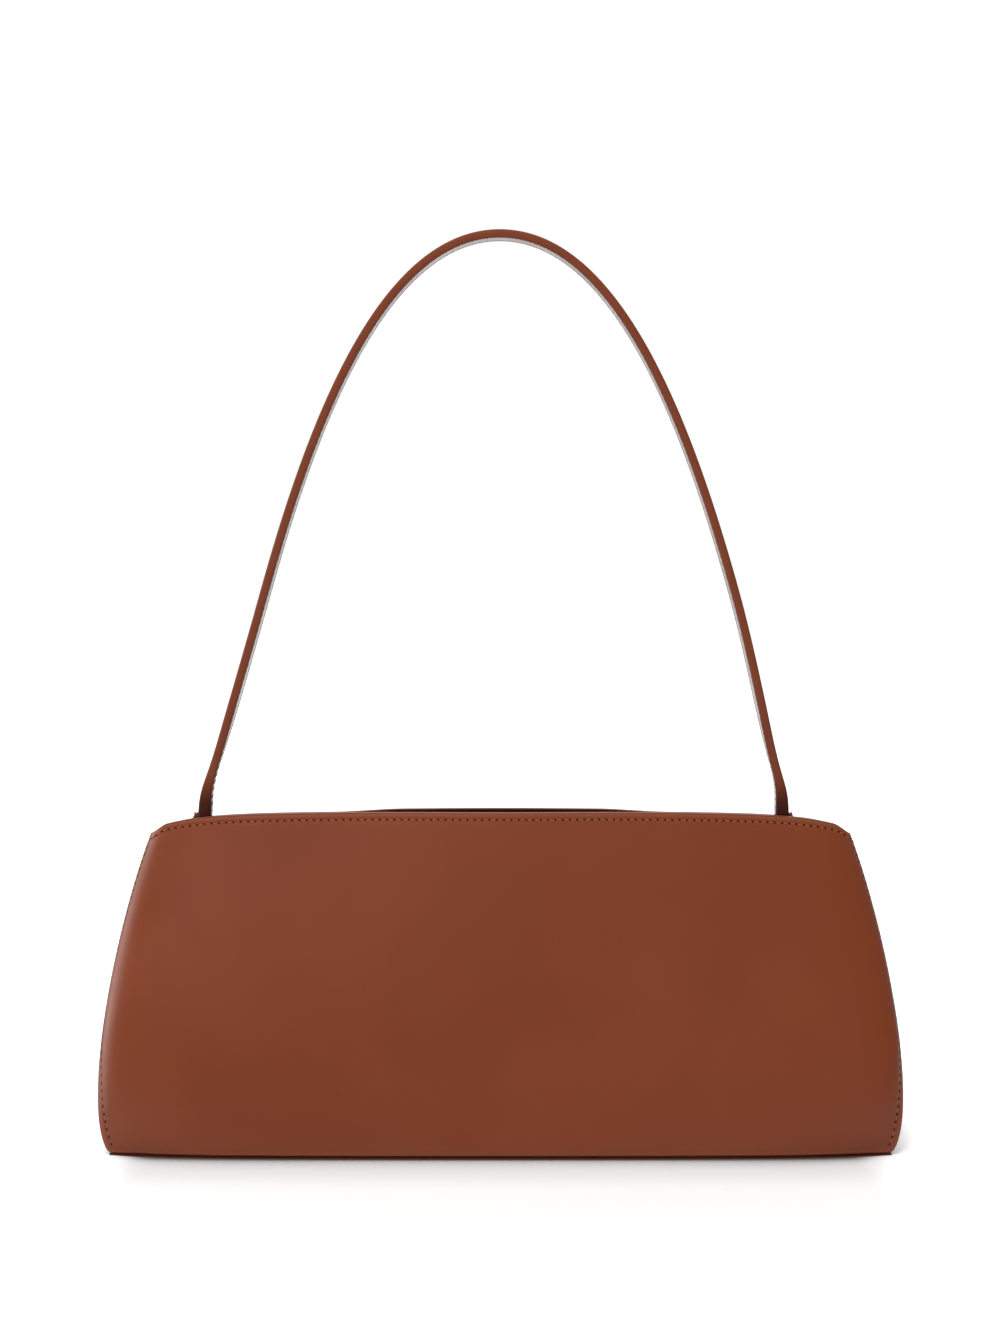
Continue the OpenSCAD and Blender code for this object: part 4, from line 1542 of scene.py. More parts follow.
@dataclass
class Gusset:
    """One folded end: two leather legs with their lining, and the patch under the strap."""

    end: End
    wardrobe: Wardrobe
    fold_base: float = 150.5
    fold_middle: float = 123.7
    lean: float = 3.0
    fold_lift: float = 6.8
    turn_base: float = 5.5
    turn_rim: float = 2.75
    fold_blunt: float = 0.35
    fold_blunt_least: float = 2.4
    leg_rise: float = 2.4
    dip_at_seam: float = 0.3
    foot_speed: float = 60.0
    rim_speed: float = 170.0
    cloth_from: float = 2 / 7
    cloth_low: float = 0.082
    cloth_drop: float = 0.07
    cloth_speeds: tuple[float, float] = (90.0, 150.0)
    patch: float = 1.4
    patch_from: float = 5 / 7
    patch_speed: float = 150.0

    def build(self) -> None:
        """Make every piece of this end."""
        for side in Side:
            self.leg(side)
            self.cloth(side)
        self.fold_patch()

    @property
    def fold_top(self) -> float:
        """Distance of the fold's top from the middle: both folds stand a little to the left."""
        return self.fold_middle - self.end.value * self.lean

    def fold_place(self, t: Array) -> Array:
        """Distance of the fold from the middle of the bag."""
        return mix(self.fold_base, self.fold_top, smooth(t))

    def line(self, side: Side, t: float, margin: Array, leg: Array) -> Array:
        """Middle line of one half of the gusset at a row.

        Args:
            side: The half that is wanted.
            t: The row.
            margin: Distances from the seam edge, for the part behind the panel.
            leg: Shares of the way from that part to the fold.

        Returns:
            Points in millimetres for the right end, margin first.
        """
        depth = FORM.leather + FORM.gap + FORM.gusset_leather / 2
        height = FORM.row_height(t, FORM.leather)
        q = FORM.station_at(margin, t)
        place = FORM.plan_set_in(q, t, depth)
        z = height + FORM.crown(FORM.plan(q, t)[..., 0], t)
        flat = np.concatenate([place, z[:, None]], 1)
        start_q = FORM.station_at(np.array(FORM.seam_margin), t)
        start = FORM.plan_set_in(start_q, t, depth)
        run = -mix(self.turn_base, self.turn_rim, t) * unit(FORM.plan_slope(start_q, t))
        fold = np.array([self.fold_place(t), 0.0])
        pull = np.array([0, max(self.fold_blunt_least, self.fold_blunt * FORM.seam_depth(t))])
        low = height + FORM.crown(FORM.plan(start_q, t)[..., 0], t)
        bent = bezier((start, start + run, fold + pull, fold), leg[:, None])
        z = mix(low, height + self.fold_lift * t * t, leg ** self.leg_rise)
        points = np.concatenate([flat, np.concatenate([bent, z[:, None]], 1)])
        if side is Side.BACK:
            behind = self.dip_at_seam * margin / FORM.seam_margin
            share = np.concatenate([behind, mix(self.dip_at_seam, 1, leg)])
            points[:, 2] -= FORM.dip(points[:, 0], t, side) * (1 - share)
        points[:, 1] *= side.value
        return points

    def shell(self, name: str, lines: list[Array], rows: Array, depths: tuple[float, float],
              from_side: Array, side: Side) -> bpy.types.Object:
        """Closed sheet on some rows of lines.

        Args:
            name: Name of the piece.
            lines: A line of points for each row.
            rows: Distance of each row from the sheet's top and bottom, whichever is nearer.
            depths: Where the sheet begins and ends, from the gusset's outer face.
            from_side: Distance of each column from the sheet's free side.
            side: The half that the lines run along.

        Returns:
            The object.
        """
        grid = np.array(lines)
        along = np.gradient(grid[..., :2], axis=1)
        out = unit(np.stack([along[..., 1], -along[..., 0]], -1)) * -side.value
        edge = np.minimum(rows[:, None], from_side[None])
        radius = (depths[1] - depths[0]) / 2
        drawn = rounding(edge, radius)
        faces = []
        for depth in (depths[0] + drawn, depths[1] - drawn):
            moved = grid.copy()
            moved[..., :2] += (FORM.gusset_leather / 2 - depth)[..., None] * out
            moved[..., 0] *= self.end.value
            faces.append(moved)
        return sheet_object(name, faces[0], faces[1], edge)

    def blend(self, piece: bpy.types.Object, side: Side) -> None:
        """Bake a piece's transform into its mesh; no bend from the fold to the side's seam edge is
        set up.

        Args:
            piece: Object whose transform is baked.
            side: Side whose body the log line names.
        """
        fold = [(self.fold_base, 0, FORM.leather),
                (self.fold_top, 0, FORM.rim_end_height + self.fold_lift)]
        seam = [(FORM.base_half_length, side.value * FORM.base_half_depth, FORM.plain_bottom),
                (FORM.rim_half_length, side.value * FORM.rim_end_depth, FORM.rim_end_height)]
        places = np.array([[*p, 1] for p in fold + seam], float)
        start = np.array(fold[0], float)
        side.body
        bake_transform(piece)
        log.info("%s bends from bag to %s", piece.name, side.body)

    def leg(self, side: Side) -> None:
        """One leather leg, with the margin that is stitched behind the panel.

        Args:
            side: Side that the leg is sewn to.
        """
        radius = FORM.gusset_leather / 2
        marks = edge_marks(radius)
        margin = np.array([*marks, 1.2, 2.5, 4.0, FORM.seam_margin])
        leg = np.linspace(0, 1, 34)[1:]
        rows = np.concatenate([np.array(marks) / self.foot_speed, np.linspace(0.02, 0.985, 70),
                               1 - np.array(marks[::-1]) / self.rim_speed])
        distance = np.minimum(rows * self.foot_speed, (1 - rows) * self.rim_speed)
        lines = [self.line(side, t, margin, leg) for t in rows]
        from_side = np.concatenate([margin, np.full(len(leg), FAR)])
        name = f"{self.end.label}_gusset"
        piece = self.shell(f"{name}_{side.label}_leg", lines, distance,
                           (0.0, FORM.gusset_leather), from_side, side)
        dress(piece, self.wardrobe.calf)
        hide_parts(name)
        self.blend(piece, side)

    def cloth(self, side: Side) -> None:
        """The lining of one leg, below the strap's tab.

        Args:
            side: Side that the leg is sewn to.
        """
        leg = np.concatenate([np.array([0, 0.03, 0.08, 0.14, 0.2]) / 3, np.linspace(0.1, 1, 26)])
        leg = mix(self.cloth_from, 1, leg)
        marks = np.array(edge_marks(FORM.lining / 2))
        low, high = self.cloth_low, FORM.facing_start - self.cloth_drop
        slow, fast = self.cloth_speeds
        rows = np.concatenate([low + marks / slow, np.linspace(low + 0.02, high - 0.02, 40),
                               high - marks[::-1] / fast])
        distance = np.minimum((rows - low) * slow, (high - rows) * fast)
        none = np.array([])
        lines = [self.line(side, t, none, leg) for t in rows]
        from_side = np.linspace(0, 30, len(leg))
        name = f"{self.end.label}_gusset_lining"
        piece = self.shell(f"{name}_{side.label}_half", lines, distance,
                           (FORM.gusset_leather, FORM.gusset_leather + FORM.lining), from_side,
                           side)
        dress(piece, self.wardrobe.twill)
        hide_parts(name)
        self.blend(piece, side)

    def fold_patch(self) -> None:
        """The leather patch round the fold, between gusset and strap."""
        leg = np.linspace(self.patch_from, 1, 9)
        low, speed = FORM.facing_start, self.patch_speed
        marks = np.array(edge_marks(0.4))
        rows = np.concatenate([low + marks / speed, np.linspace(low + 0.01, 0.99, 16),
                               1 - marks[::-1] / speed])
        none, lines = np.array([]), []
        for t in rows:
            front = self.line(Side.FRONT, t, none, leg)
            back = self.line(Side.BACK, t, none, leg)
            lines.append(np.concatenate([front, back[-2::-1]]))
        distance = np.minimum((rows - low) * speed, (1 - rows) * speed)
        ends = np.linspace(0, 5, len(leg))
        from_side = np.concatenate([ends, ends[-2::-1]])
        near = FORM.gusset_leather
        name = f"{self.end.label}_tab_patch"
        piece = self.shell(f"{name}_leather", lines, distance, (near, near + self.patch),
                           from_side, Side.FRONT)
        settle(piece, "bag", self.wardrobe.facing, (name,))


# The base


@dataclass
class Base:
    """The flat bottom: leather, board and lining."""

    wardrobe: Wardrobe
    board: float = 2.0
    lining_half_length: float = 143.4
    lining_wave: float = 0.12
    thin_from: float = 1.5
    thin_run: float = 3.0

    def outline(self, side: Side, q: Array, inset: float) -> Array:
        """Bottom edge of one side in plan."""
        return FORM.point(side, q, 0.0, inset)[..., :2]

    def flat_sheet(self, name: str, inset: float, half_length: float | None,
                   heights: tuple[float, float], rise: float = 0.0,
                   thinned: float = 0.0) -> bpy.types.Object:
        """Sheet that fills the base's outline.

        Args:
            name: Name of the piece.
            inset: Distance inside the panels' outer surface.
            half_length: Where its ends are cut, or none for the whole length.
            heights: Its bottom and top.
            rise: Height of slow waves in it.
            thinned: How much thinner it is along its long edges.

        Returns:
            The object.
        """
        radius = (heights[1] - heights[0]) / 2
        marks = np.array(edge_marks(radius))
        full = FORM.base_half_length if half_length is None else half_length
        x = np.concatenate([-full + marks, np.linspace(-full + 4, full - 4, 90),
                            full - marks[::-1]])
        within = np.minimum(np.abs(x), FORM.base_half_length - 1e-3) * np.sign(x)
        q = FORM.station_at_x(within, np.zeros_like(x))
        front = self.outline(Side.FRONT, q, inset)[:, 1]
        back = self.outline(Side.BACK, q, inset)[:, 1]
        width = (back - front).max()
        v = np.concatenate([marks, np.linspace(4, width - 4, 30), width - marks[::-1]]) / width
        y = mix(front[None], back[None], v[:, None])
        wide = np.broadcast_to(x, y.shape)
        edge_y = np.broadcast_to(np.minimum(v, 1 - v)[:, None] * width, y.shape)
        edge = np.minimum(edge_y, (full - np.abs(x))[None])
        drawn = rounding(edge, radius)
        wave = rise * smooth(edge / 20) * (1 + np.sin(wide / 17) * np.sin(y / 11 + 1))
        low = np.stack([wide, y, heights[0] + drawn + wave], -1)
        beside = 1 - smooth((edge_y - self.thin_from) / self.thin_run)
        thin = np.minimum(thinned * beside, 2 * (radius - drawn))
        high = np.stack([wide, y, heights[1] - drawn - thin + wave], -1)
        return sheet_object(name, high, low, edge)

    def build(self) -> None:
        """Make every piece of the base."""
        settle(self.flat_sheet("base_panel_leather", 0.0, None, (0.0, FORM.leather),
                               thinned=FORM.leather - FORM.base_edge), "bag",
               self.wardrobe.base, ("base_panel",))
        low = FORM.leather + self.board
        cloth = self.flat_sheet("base_lining_cloth", FORM.facing_depth + FORM.lining + FORM.gap,
                                self.lining_half_length, (low, low + FORM.lining),
                                self.lining_wave)
        settle(cloth, "bag", self.wardrobe.twill, ("base_lining",))
        dress(bpy.data.objects["base_board"], self.wardrobe.board)


# The strap


@dataclass
class Strap:
    """The strap: two leathers on a tape, one run from tab to tab, with painted edges.

    It leans a little to the left, most at its feet, where its leathers are thicker.
    """

    STITCH = StitchStyle(height=0.24)
    # Distance from the middle and height of the outer surface along a tab, above its low end.
    TAB = ((122.0, 139.6), (122.3, 132.0), (122.3, 124.0), (123.0, 113.0))

    wardrobe: Wardrobe
    stitches: StitchTree
    height: float = 373.6
    top_pull: float = 76.5
    side_lean: float = 14.6
    side_pull: float = 38.4
    bend_z: float = 146.0
    half_span: float = 119.9
    width: float = 16.0
    foot_width: float = 7.0
    leather: float = 1.4
    tape: float = 0.6
    foot_swell: float = 0.95
    swell_low: float = 133.0
    swell_length: float = 20.0
    pinch_length: float = 34.0
    tab_low: float = 101.6
    tab_low_place: float = 124.7
    shift: float = 0.3
    lean: float = 2.7
    lean_from: float = 225.0
    lean_run: float = 105.0
    stations: int = 760
    station_step: float = 0.9
    ease_reach: int = 14
    ease_width: float = 4.8
    layer_gap: float = 0.03
    layer_press: float = 0.02
    leather_set_back: float = 0.1
    tape_set_back: float = 0.5
    edge_inset: float = 0.55
    edge_height: float = 0.85
    edge_overhang: float = 0.03
    stitch_inset: float = 2.1
    stitch_end: int = 8
    bend_from: float = 137.0
    bend_to: float = 153.0
    route: Array = field(init=False)
    inward: Array = field(init=False)

    def __post_init__(self) -> None:
        """Lay out the outer surface's line from the left tab to the right one."""
        foot = np.array([self.half_span, self.bend_z])
        curve = (np.array([0.0, self.height]), np.array([self.top_pull, self.height]),
                 np.array([self.half_span - self.side_lean, self.bend_z + self.side_pull]), foot)
        arch = bezier(curve, np.linspace(0, 1, 400)[:, None])
        half = np.concatenate([arch, self.TAB, [[self.tab_low_place, self.tab_low]]])
        whole = np.concatenate([half[::-1] * [-1, 1], half[1:]])
        lower = smooth((self.lean_from - whole[:, 1]) / self.lean_run)
        whole[:, 0] -= self.shift + self.lean * lower
        length = np.concatenate([[0], np.cumsum(np.linalg.norm(np.diff(whole, axis=0), axis=1))])
        even = np.linspace(0, length[-1], self.stations)
        line = np.stack([np.interp(even, length, whole[:, i]) for i in (0, 1)], -1)
        self.route = self._eased(line)
        along = unit(np.gradient(self.route, axis=0))
        self.inward = np.stack([along[:, 1], -along[:, 0]], -1)

    def _eased(self, line: Array) -> Array:
        """The same line with its corners rounded, by a moving average that thins outwards.

        Args:
            line: Points along the line.

        Returns:
            As many points, rounded.
        """
        reach = self.ease_reach
        weights = np.exp(-0.5 * (np.arange(-reach, reach + 1) / self.ease_width) ** 2)
        weights /= weights.sum()
        before, after = 2 * line[0] - line[reach:0:-1], 2 * line[-1] - line[-2:-2 - reach:-1]
        longer = np.concatenate([before, line, after])
        return np.stack([np.convolve(longer[:, i], weights, "valid") for i in (0, 1)], -1)

    def pinch(self) -> Array:
        """Share of the pinch along the strap: 1 at the feet, 0 where it is flat."""
        return 1 - smooth((self.route[:, 1] - self.bend_z) / self.pinch_length)

    def half_width(self) -> Array:
        """Half of the strap's width along it."""
        return mix(self.width, self.foot_width, self.pinch()) / 2

    def layer(self) -> Array:
        """Thickness of one leather along it."""
        up = (self.route[:, 1] - self.swell_low) / self.swell_length
        return self.leather + self.foot_swell * (1 - smooth(up))

    def place(self, depth: Array, across: Array) -> Array:
        """Points of the strap at a depth and a distance to the side, one for each station."""
        flat = self.route + self.inward * np.asarray(depth)[..., None]
        return np.stack([flat[:, 0], np.broadcast_to(across, flat[:, 0].shape), flat[:, 1]], -1)

    def band(self, name: str, near: Array, far: Array, set_back: float) -> bpy.types.Object:
        """One layer of the strap between two depths.

        Args:
            name: Name of the piece.
            near: Inner line.
            far: Outer line.
            set_back: How far its edges lie inside the strap's, mm.

        Returns:
            The piece.
        """
        half = self.half_width() - set_back
        radius = float((far - near).min()) / 2
        marks, widest = np.array(edge_marks(radius)), self.width / 2
        inner = np.linspace(marks[-1], widest, 8)[1:-1]
        shares = np.concatenate([marks, inner]) / widest
        shares = np.concatenate([shares, [1.0], 2 - shares[::-1]])
        station = np.arange(len(half))
        from_end = np.minimum(station, station[::-1]) * self.station_step
        outer, under, edges = [], [], []
        for share in shares:
            across = (share - 1) * half
            edge = np.minimum(half - np.abs(across), from_end)
            drawn = rounding(edge, radius)
            outer.append(self.place(near + drawn, across))
            under.append(self.place(far - drawn, across))
            edges.append(edge)
        return sheet_object(name, np.array(outer), np.array(under), np.array(edges))

    def hang(self, piece: bpy.types.Object) -> None:
        """Bake a piece's transform into its mesh; no bend from the bag to the strap is set up."""
        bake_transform(piece)
        log.info("%s bends from bag to strap", piece.name)

    def build(self) -> None:
        """Make every piece of the strap."""
        leather = self.layer()
        under, whole = leather + self.tape, 2 * leather + self.tape
        layers = (
            ("strap_outer_leather", 0 * leather, leather + self.layer_press,
             self.leather_set_back, ("strap_outer", "left_strap_tab", "right_strap_tab"),
             self.wardrobe.strap, "calf_strap"),
            ("strap_core_web", leather + self.layer_gap, under - self.layer_gap,
             self.tape_set_back, ("strap_core",), self.wardrobe.tape, "reinforcing_tape"),
            ("strap_inner_leather", under - self.layer_press, whole, self.leather_set_back,
             ("strap_inner",), self.wardrobe.strap_lining, "calf_strap"),
        )
        for name, near, far, set_back, nodes, finish, slot in layers:
            piece = dress(self.band(name, near, far, set_back), finish)
            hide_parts(*nodes)
            self.hang(piece)
        deep = np.stack([self.inward[:, 0], 0 * whole, self.inward[:, 1]], -1)
        self.edges(whole, deep)
        self.thread(whole, deep)

    def edges(self, whole: Array, deep: Array) -> None:
        """Painted bead down both edges.

        Args:
            whole: Thickness of the strap at each station.
            deep: Direction through it at each station.
        """
        for side in Side:
            path = self.place(whole / 2, side.value * (self.half_width() - self.edge_inset))
            wide = np.broadcast_to(np.array([0.0, 1.0, 0.0]), path.shape) * self.edge_height
            bead = bead_object(f"strap_{side.label}_edge", path,
                               deep * (whole / 2 + self.edge_overhang)[:, None], wide, 20, 2.2)
            dress(bead, self.wardrobe.strap_paint)
            self.hang(bead)

    def thread(self, whole: Array, deep: Array) -> None:
        """Two rows of stitches on the outside, and two on the inside.

        Args:
            whole: Thickness of the strap at each station.
            deep: Direction through it at each station.
        """
        half = self.half_width()
        inset = half - np.minimum(self.stitch_inset, half * 0.55)
        keep = slice(self.stitch_end, -self.stitch_end)
        for label, depth, normal in (("outer", 0 * whole, -deep), ("inner", whole, deep)):
            seams = [(self.place(depth, side.value * inset)[keep], normal[keep])
                     for side in Side]
            self.hang(self.stitches.sew(f"strap_{label}_stitches", seams, self.STITCH))


# The slip pocket


@dataclass
class SlipPocket:
    """The open pocket on the back lining, with its leather trim."""

    wardrobe: Wardrobe
    stitches: StitchTree
    half_length: float = 65.0
    bottom: float = 19.6
    top: float = 82.6
    seam: float = 4.5
    gape: float = 12.0
    gape_rise: float = 1.2
    gape_round: float = 3.0
    cloth: float = 0.8
    trim: float = 0.9
    trim_height: float = 9.0
    trim_over: float = 0.6
    lining_press: float = 0.1
    seam_inset: float = 2.2
    seam_top: float = 1.5
    trim_seam: float = 1.8

    def point(self, x: Array, t: Array, depth: Array) -> Array:
        """Point of the pocket, hanging off the lining as far as it gapes there.

        Args:
            x: Distance from the middle, mm.
            t: Row.
            depth: Depth in the cloth, mm.

        Returns:
            The point.
        """
        sewn, end = FORM.row_at(self.bottom + self.seam), FORM.row_at(self.top)
        free = self.half_length - self.seam
        across = np.clip(np.abs(x) / free, 0, 1)
        up = np.clip((t - sewn) / (end - sewn), 0, 1)
        hang = self.gape * up**self.gape_rise * (1 - across**self.gape_round)
        base = FORM.facing_depth + FORM.lining - self.lining_press
        return FORM.point(Side.BACK, FORM.station_at_x(x, t), t, base + depth + hang)

    def patch(self, name: str, low: float, high: float, depths: tuple[float, float]
              ) -> bpy.types.Object:
        """Sheet on the pocket between two heights.

        Args:
            name: Name of the piece.
            low: Lower height, mm.
            high: Upper height, mm.
            depths: Depths of its two faces, mm.

        Returns:
            The piece.
        """
        radius = (depths[1] - depths[0]) / 2
        marks = np.array(edge_marks(radius))
        half = self.half_length
        x = np.concatenate([-half + marks, np.linspace(-half + 2, half - 2, 70),
                            half - marks[::-1]])
        first, last = FORM.row_at(low), FORM.row_at(high)
        speed = (high - low) / (last - first)
        rows = np.concatenate([first + marks / speed,
                               np.linspace(first + 1.5 / speed, last - 1.5 / speed, 28),
                               last - marks[::-1] / speed])
        wide, t = np.meshgrid(x, rows)
        edge = np.minimum(half - np.abs(wide), np.minimum(t - first, last - t) * speed)
        drawn = rounding(edge, radius)
        outer = self.point(wide, t, depths[0] + drawn)
        inner = self.point(wide, t, depths[1] - drawn)
        return sheet_object(name, outer, inner, edge)

    def build(self) -> None:
        """Make the pocket, its trim and its stitches."""
        cloth = self.patch("slip_pocket_cloth", self.bottom, self.top, (0, self.cloth))
        settle(cloth, "back_side", self.wardrobe.twill, ("slip_pocket",))
        trim = self.patch("pocket_trim_leather", self.top - self.trim_height,
                          self.top + self.trim_over, (self.cloth, self.cloth + self.trim))
        settle(trim, "back_side", self.wardrobe.facing, ("pocket_trim",))
        self.sew()

    def sew(self) -> None:
        """Stitches down its sides, along its bottom and along the trim."""
        x, low = self.half_length - self.seam_inset, FORM.row_at(self.bottom + self.seam_inset)
        down = np.linspace(FORM.row_at(self.top - self.seam_top), low, 60)
        across = np.linspace(-x, x, 60)[1:-1]
        seam_x = np.concatenate([np.full(60, -x), across, np.full(60, x)])
        seam_t = np.concatenate([down, np.full(58, low), down[::-1]])
        trim_x = np.linspace(-x, x, 90)
        trim_t = np.full(90, FORM.row_at(self.top - self.trim_height + self.trim_seam))
        seams = [(self.point(x, t, depth),
                  -FORM.normal(Side.BACK, FORM.station_at_x(x, t), t))
                 for x, t, depth in ((seam_x, seam_t, self.cloth),
                                     (trim_x, trim_t, self.cloth + self.trim))]
        piece = self.stitches.sew("slip_pocket_stitches", seams)
        settle(piece, "back_side", None)


# The studio


@dataclass(frozen=True)
class Lamp:
    """A soft square lamp, which lights either the surfaces or their gloss alone."""

    name: str
    place: tuple[float, float, float]
    size: float
    power: float
    gloss_only: bool = False

    def hang(self, target: Vector) -> None:
        """Put the lamp in the scene, turned to a point.

        Args:
            target: Point that it faces.
        """
        data = bpy.data.lights.new(self.name, "AREA")
        data.shape = "SQUARE"
        data.size = self.size
        data.energy = self.power
        lamp = bpy.data.objects.new(self.name, data)
        lamp.location = self.place
        aim = target - Vector(self.place)
        lamp.rotation_euler = aim.to_track_quat("-Z", "Y").to_euler()
        lamp.visible_glossy, lamp.visible_diffuse = self.gloss_only, not self.gloss_only
        lamp.visible_camera = False
        bpy.context.scene.collection.objects.link(lamp)


@dataclass
class Studio:
    """Pale floor and background, soft lamps and the camera, in metres and pixels."""

    LAMPS = (
        Lamp("key_lamp", (-0.45, -1.35, 1.55), 1.0, 27.5),
        Lamp("top_lamp", (0.0, 0.2, 1.9), 1.6, 13.0),
        Lamp("left_lamp", (-1.4, 0.0, 0.3), 1.0, 17.0, gloss_only=True),
    )
    # How open a point of the floor is, from 0 to 1, and its tone of painted contact shadow.
    CONTACT_TONES = ((0.5, 0.0), (0.555, 0.03), (0.61, 0.35), (0.66, 0.62), (0.75, 0.69),
                     (0.9, 0.77), (1.0, 0.87))

    distance: float = 1.1
    eye_height: float = 0.255
    eye_shift: float = -0.0002
    focal_px: float = 2650.0
    horizon_px: float = 516.4
    photo_height_px: float = 1334.0
    aim_height: float = 0.1
    floor_reach: float = 6.0
    bounce: float = 0.62
    contact_reach: float = 0.05
    clear_tone: float = 0.95
    ambient: float = 0.52
    unlit: float = 0.12

    def build(self) -> None:
        """Make the camera, the floor, the world and the lamps."""
        self.camera()
        self.floor()
        self.world()
        for lamp in self.LAMPS:
            lamp.hang(Vector((0, 0, self.aim_height)))
            log.info("%s hangs in the studio", lamp.name)

    def camera(self) -> None:
        """The camera stands square to the front, a little above the rim."""
        data = bpy.data.cameras.new("camera")
        data.sensor_width = 36.0
        data.lens = self.focal_px / self.photo_height_px * data.sensor_width
        data.shift_y = (self.horizon_px - self.photo_height_px / 2) / self.photo_height_px
        data.clip_end = 50
        made = bpy.data.objects.new("camera", data)
        made.location = (self.eye_shift, -self.distance, self.eye_height)
        made.rotation_euler = (math.pi / 2, 0, 0)
        bpy.context.scene.collection.objects.link(made)
        bpy.context.scene.camera = made

    def floor(self) -> None:
        """A white floor: it takes the lamps' shadow of the bag, a painted contact shadow and
        painted light.
        """
        reach = self.floor_reach
        mesh = bpy.data.meshes.new("floor")
        mesh.from_pydata([(-reach, -reach, 0), (reach, -reach, 0), (reach, reach, 0),
                          (-reach, reach, 0)], [], [(0, 1, 2, 3)])
        floor = new_object("floor", mesh)
        made, tree = begin_material("studio_floor")
        place = add_node(tree, "ShaderNodeTexCoord").outputs["Object"]
        x = add_node(tree, "ShaderNodeSeparateXYZ", inputs={0: place}).outputs[0]
        beside = add_node(tree, "ShaderNodeMath", {"operation": "ABSOLUTE"}, {0: x}).outputs[0]
        rays = add_node(tree, "ShaderNodeLightPath")
        tone = add_node(tree, "ShaderNodeMix", COLOURS, {
            SHARE: rays.outputs["Is Camera Ray"], FIRST: grey(self.bounce),
            SECOND: self._contact(tree, beside)}).outputs[MIXED]
        matte = add_node(tree, "ShaderNodeBsdfDiffuse", inputs={"Color": tone})
        glow = add_node(tree, "ShaderNodeEmission", inputs={
            "Color": grey(1.0), "Strength": self._floor_glow(tree, place, beside)})
        dark = add_node(tree, "ShaderNodeEmission", inputs={"Strength": 0.0})
        lit = add_node(tree, "ShaderNodeMixShader", inputs={
            0: self._seen(tree, rays), 1: dark.outputs[0], 2: glow.outputs[0]})
        both = add_node(tree, "ShaderNodeAddShader",
                        inputs={0: matte.outputs[0], 1: lit.outputs[0]})
        add_node(tree, "ShaderNodeOutputMaterial", inputs={"Surface": both.outputs[0]})
        dress(floor, made)

    def _contact(self, tree: bpy.types.NodeTree, beside: bpy.types.NodeSocket
                 ) -> bpy.types.NodeSocket:
        """Painted contact shadow: floor tone for the eye from how closed-in a point is, dark only
        where the bag nearly touches.

        Args:
            tree: The floor's tree.
            beside: Distance of the point from the middle, along the bag.

        Returns:
            The tone, which fades out past the ends of the bag.
        """
        near = add_node(tree, "ShaderNodeAmbientOcclusion", {"samples": 16},
                        {"Distance": self.contact_reach}).outputs["AO"]
        ramp = add_node(tree, "ShaderNodeValToRGB", inputs={0: near})
        stops = ramp.color_ramp.elements
        (start, start_tone), *middle, (end, end_tone) = self.CONTACT_TONES
        stops[0].position, stops[0].color = start, grey(start_tone)
        stops[1].position, stops[1].color = end, grey(end_tone)
        for position, tone in middle:
            stops.new(position).color = grey(tone)
        past = add_node(tree, "ShaderNodeMapRange", EASED, {
            "Value": beside, "From Min": 0.138, "From Max": 0.157,
            "To Max": 0.9}).outputs["Result"]
        return add_node(tree, "ShaderNodeMix", COLOURS, {
            SHARE: past, FIRST: ramp.outputs["Color"],
            SECOND: grey(self.clear_tone)}).outputs[MIXED]

    def _floor_glow(self, tree: bpy.types.NodeTree, place: bpy.types.NodeSocket,
                    beside: bpy.types.NodeSocket) -> bpy.types.NodeSocket:
        """Own light of the floor for the eye and the gloss: faint near the bag, strong further out
        and past the bag's ends, where it is painted light over the bag's shade.

        Args:
            tree: The floor's tree.
            place: The point's place.
            beside: Distance of the point from the middle, along the bag.

        Returns:
            The strength.
        """
        away = add_node(tree, "ShaderNodeVectorMath", {"operation": "LENGTH"},
                        {0: place}).outputs["Value"]
        # Past the bag's ends the glow rises: painted light that covers the bag's shade there.
        around, past = (add_node(tree, "ShaderNodeMapRange", EASED, {
            "Value": value, "From Min": start, "From Max": end, "To Min": 0.12,
            "To Max": most}).outputs["Result"]
            for value, start, end, most in ((away, 0.2, 1.2, 0.8), (beside, 0.142, 0.18, 0.62)))
        return add_node(tree, "ShaderNodeMath", {"operation": "MAXIMUM"},
                        {0: around, 1: past}).outputs[0]

    def _seen(self, tree: bpy.types.NodeTree, rays: bpy.types.Node) -> bpy.types.NodeSocket:
        """One where a ray comes from the camera, a gloss or a clear material."""
        total = add_node(tree, "ShaderNodeMath", {"operation": "ADD"}, {
            0: rays.outputs["Is Camera Ray"], 1: rays.outputs["Is Glossy Ray"]}).outputs[0]
        return add_node(tree, "ShaderNodeMath", {"operation": "ADD", "use_clamp": True}, {
            0: total, 1: rays.outputs["Is Transmission Ray"]}).outputs[0]

    def world(self) -> None:
        """White to the eye, and a plain soft light for the bag."""
        world = bpy.data.worlds.new("studio")
        world.use_nodes = True
        tree = world.node_tree
        tree.nodes.clear()
        rays = add_node(tree, "ShaderNodeLightPath")
        place = add_node(tree, "ShaderNodeTexCoord").outputs["Generated"]
        towards = add_node(tree, "ShaderNodeSeparateXYZ", inputs={0: place}).outputs
        light = add_node(tree, "ShaderNodeBackground", inputs={
            "Color": grey(1.0), "Strength": self._ambient(tree, towards["X"])})
        white = add_node(tree, "ShaderNodeBackground", inputs={
            "Color": grey(1.0),
            "Strength": self._backdrop(tree, rays, towards["X"], towards["Y"])})
        both = add_node(tree, "ShaderNodeMixShader", inputs={
            0: self._seen(tree, rays), 1: light.outputs[0], 2: white.outputs[0]})
        add_node(tree, "ShaderNodeOutputWorld", inputs={"Surface": both.outputs[0]})
        bpy.context.scene.world = world

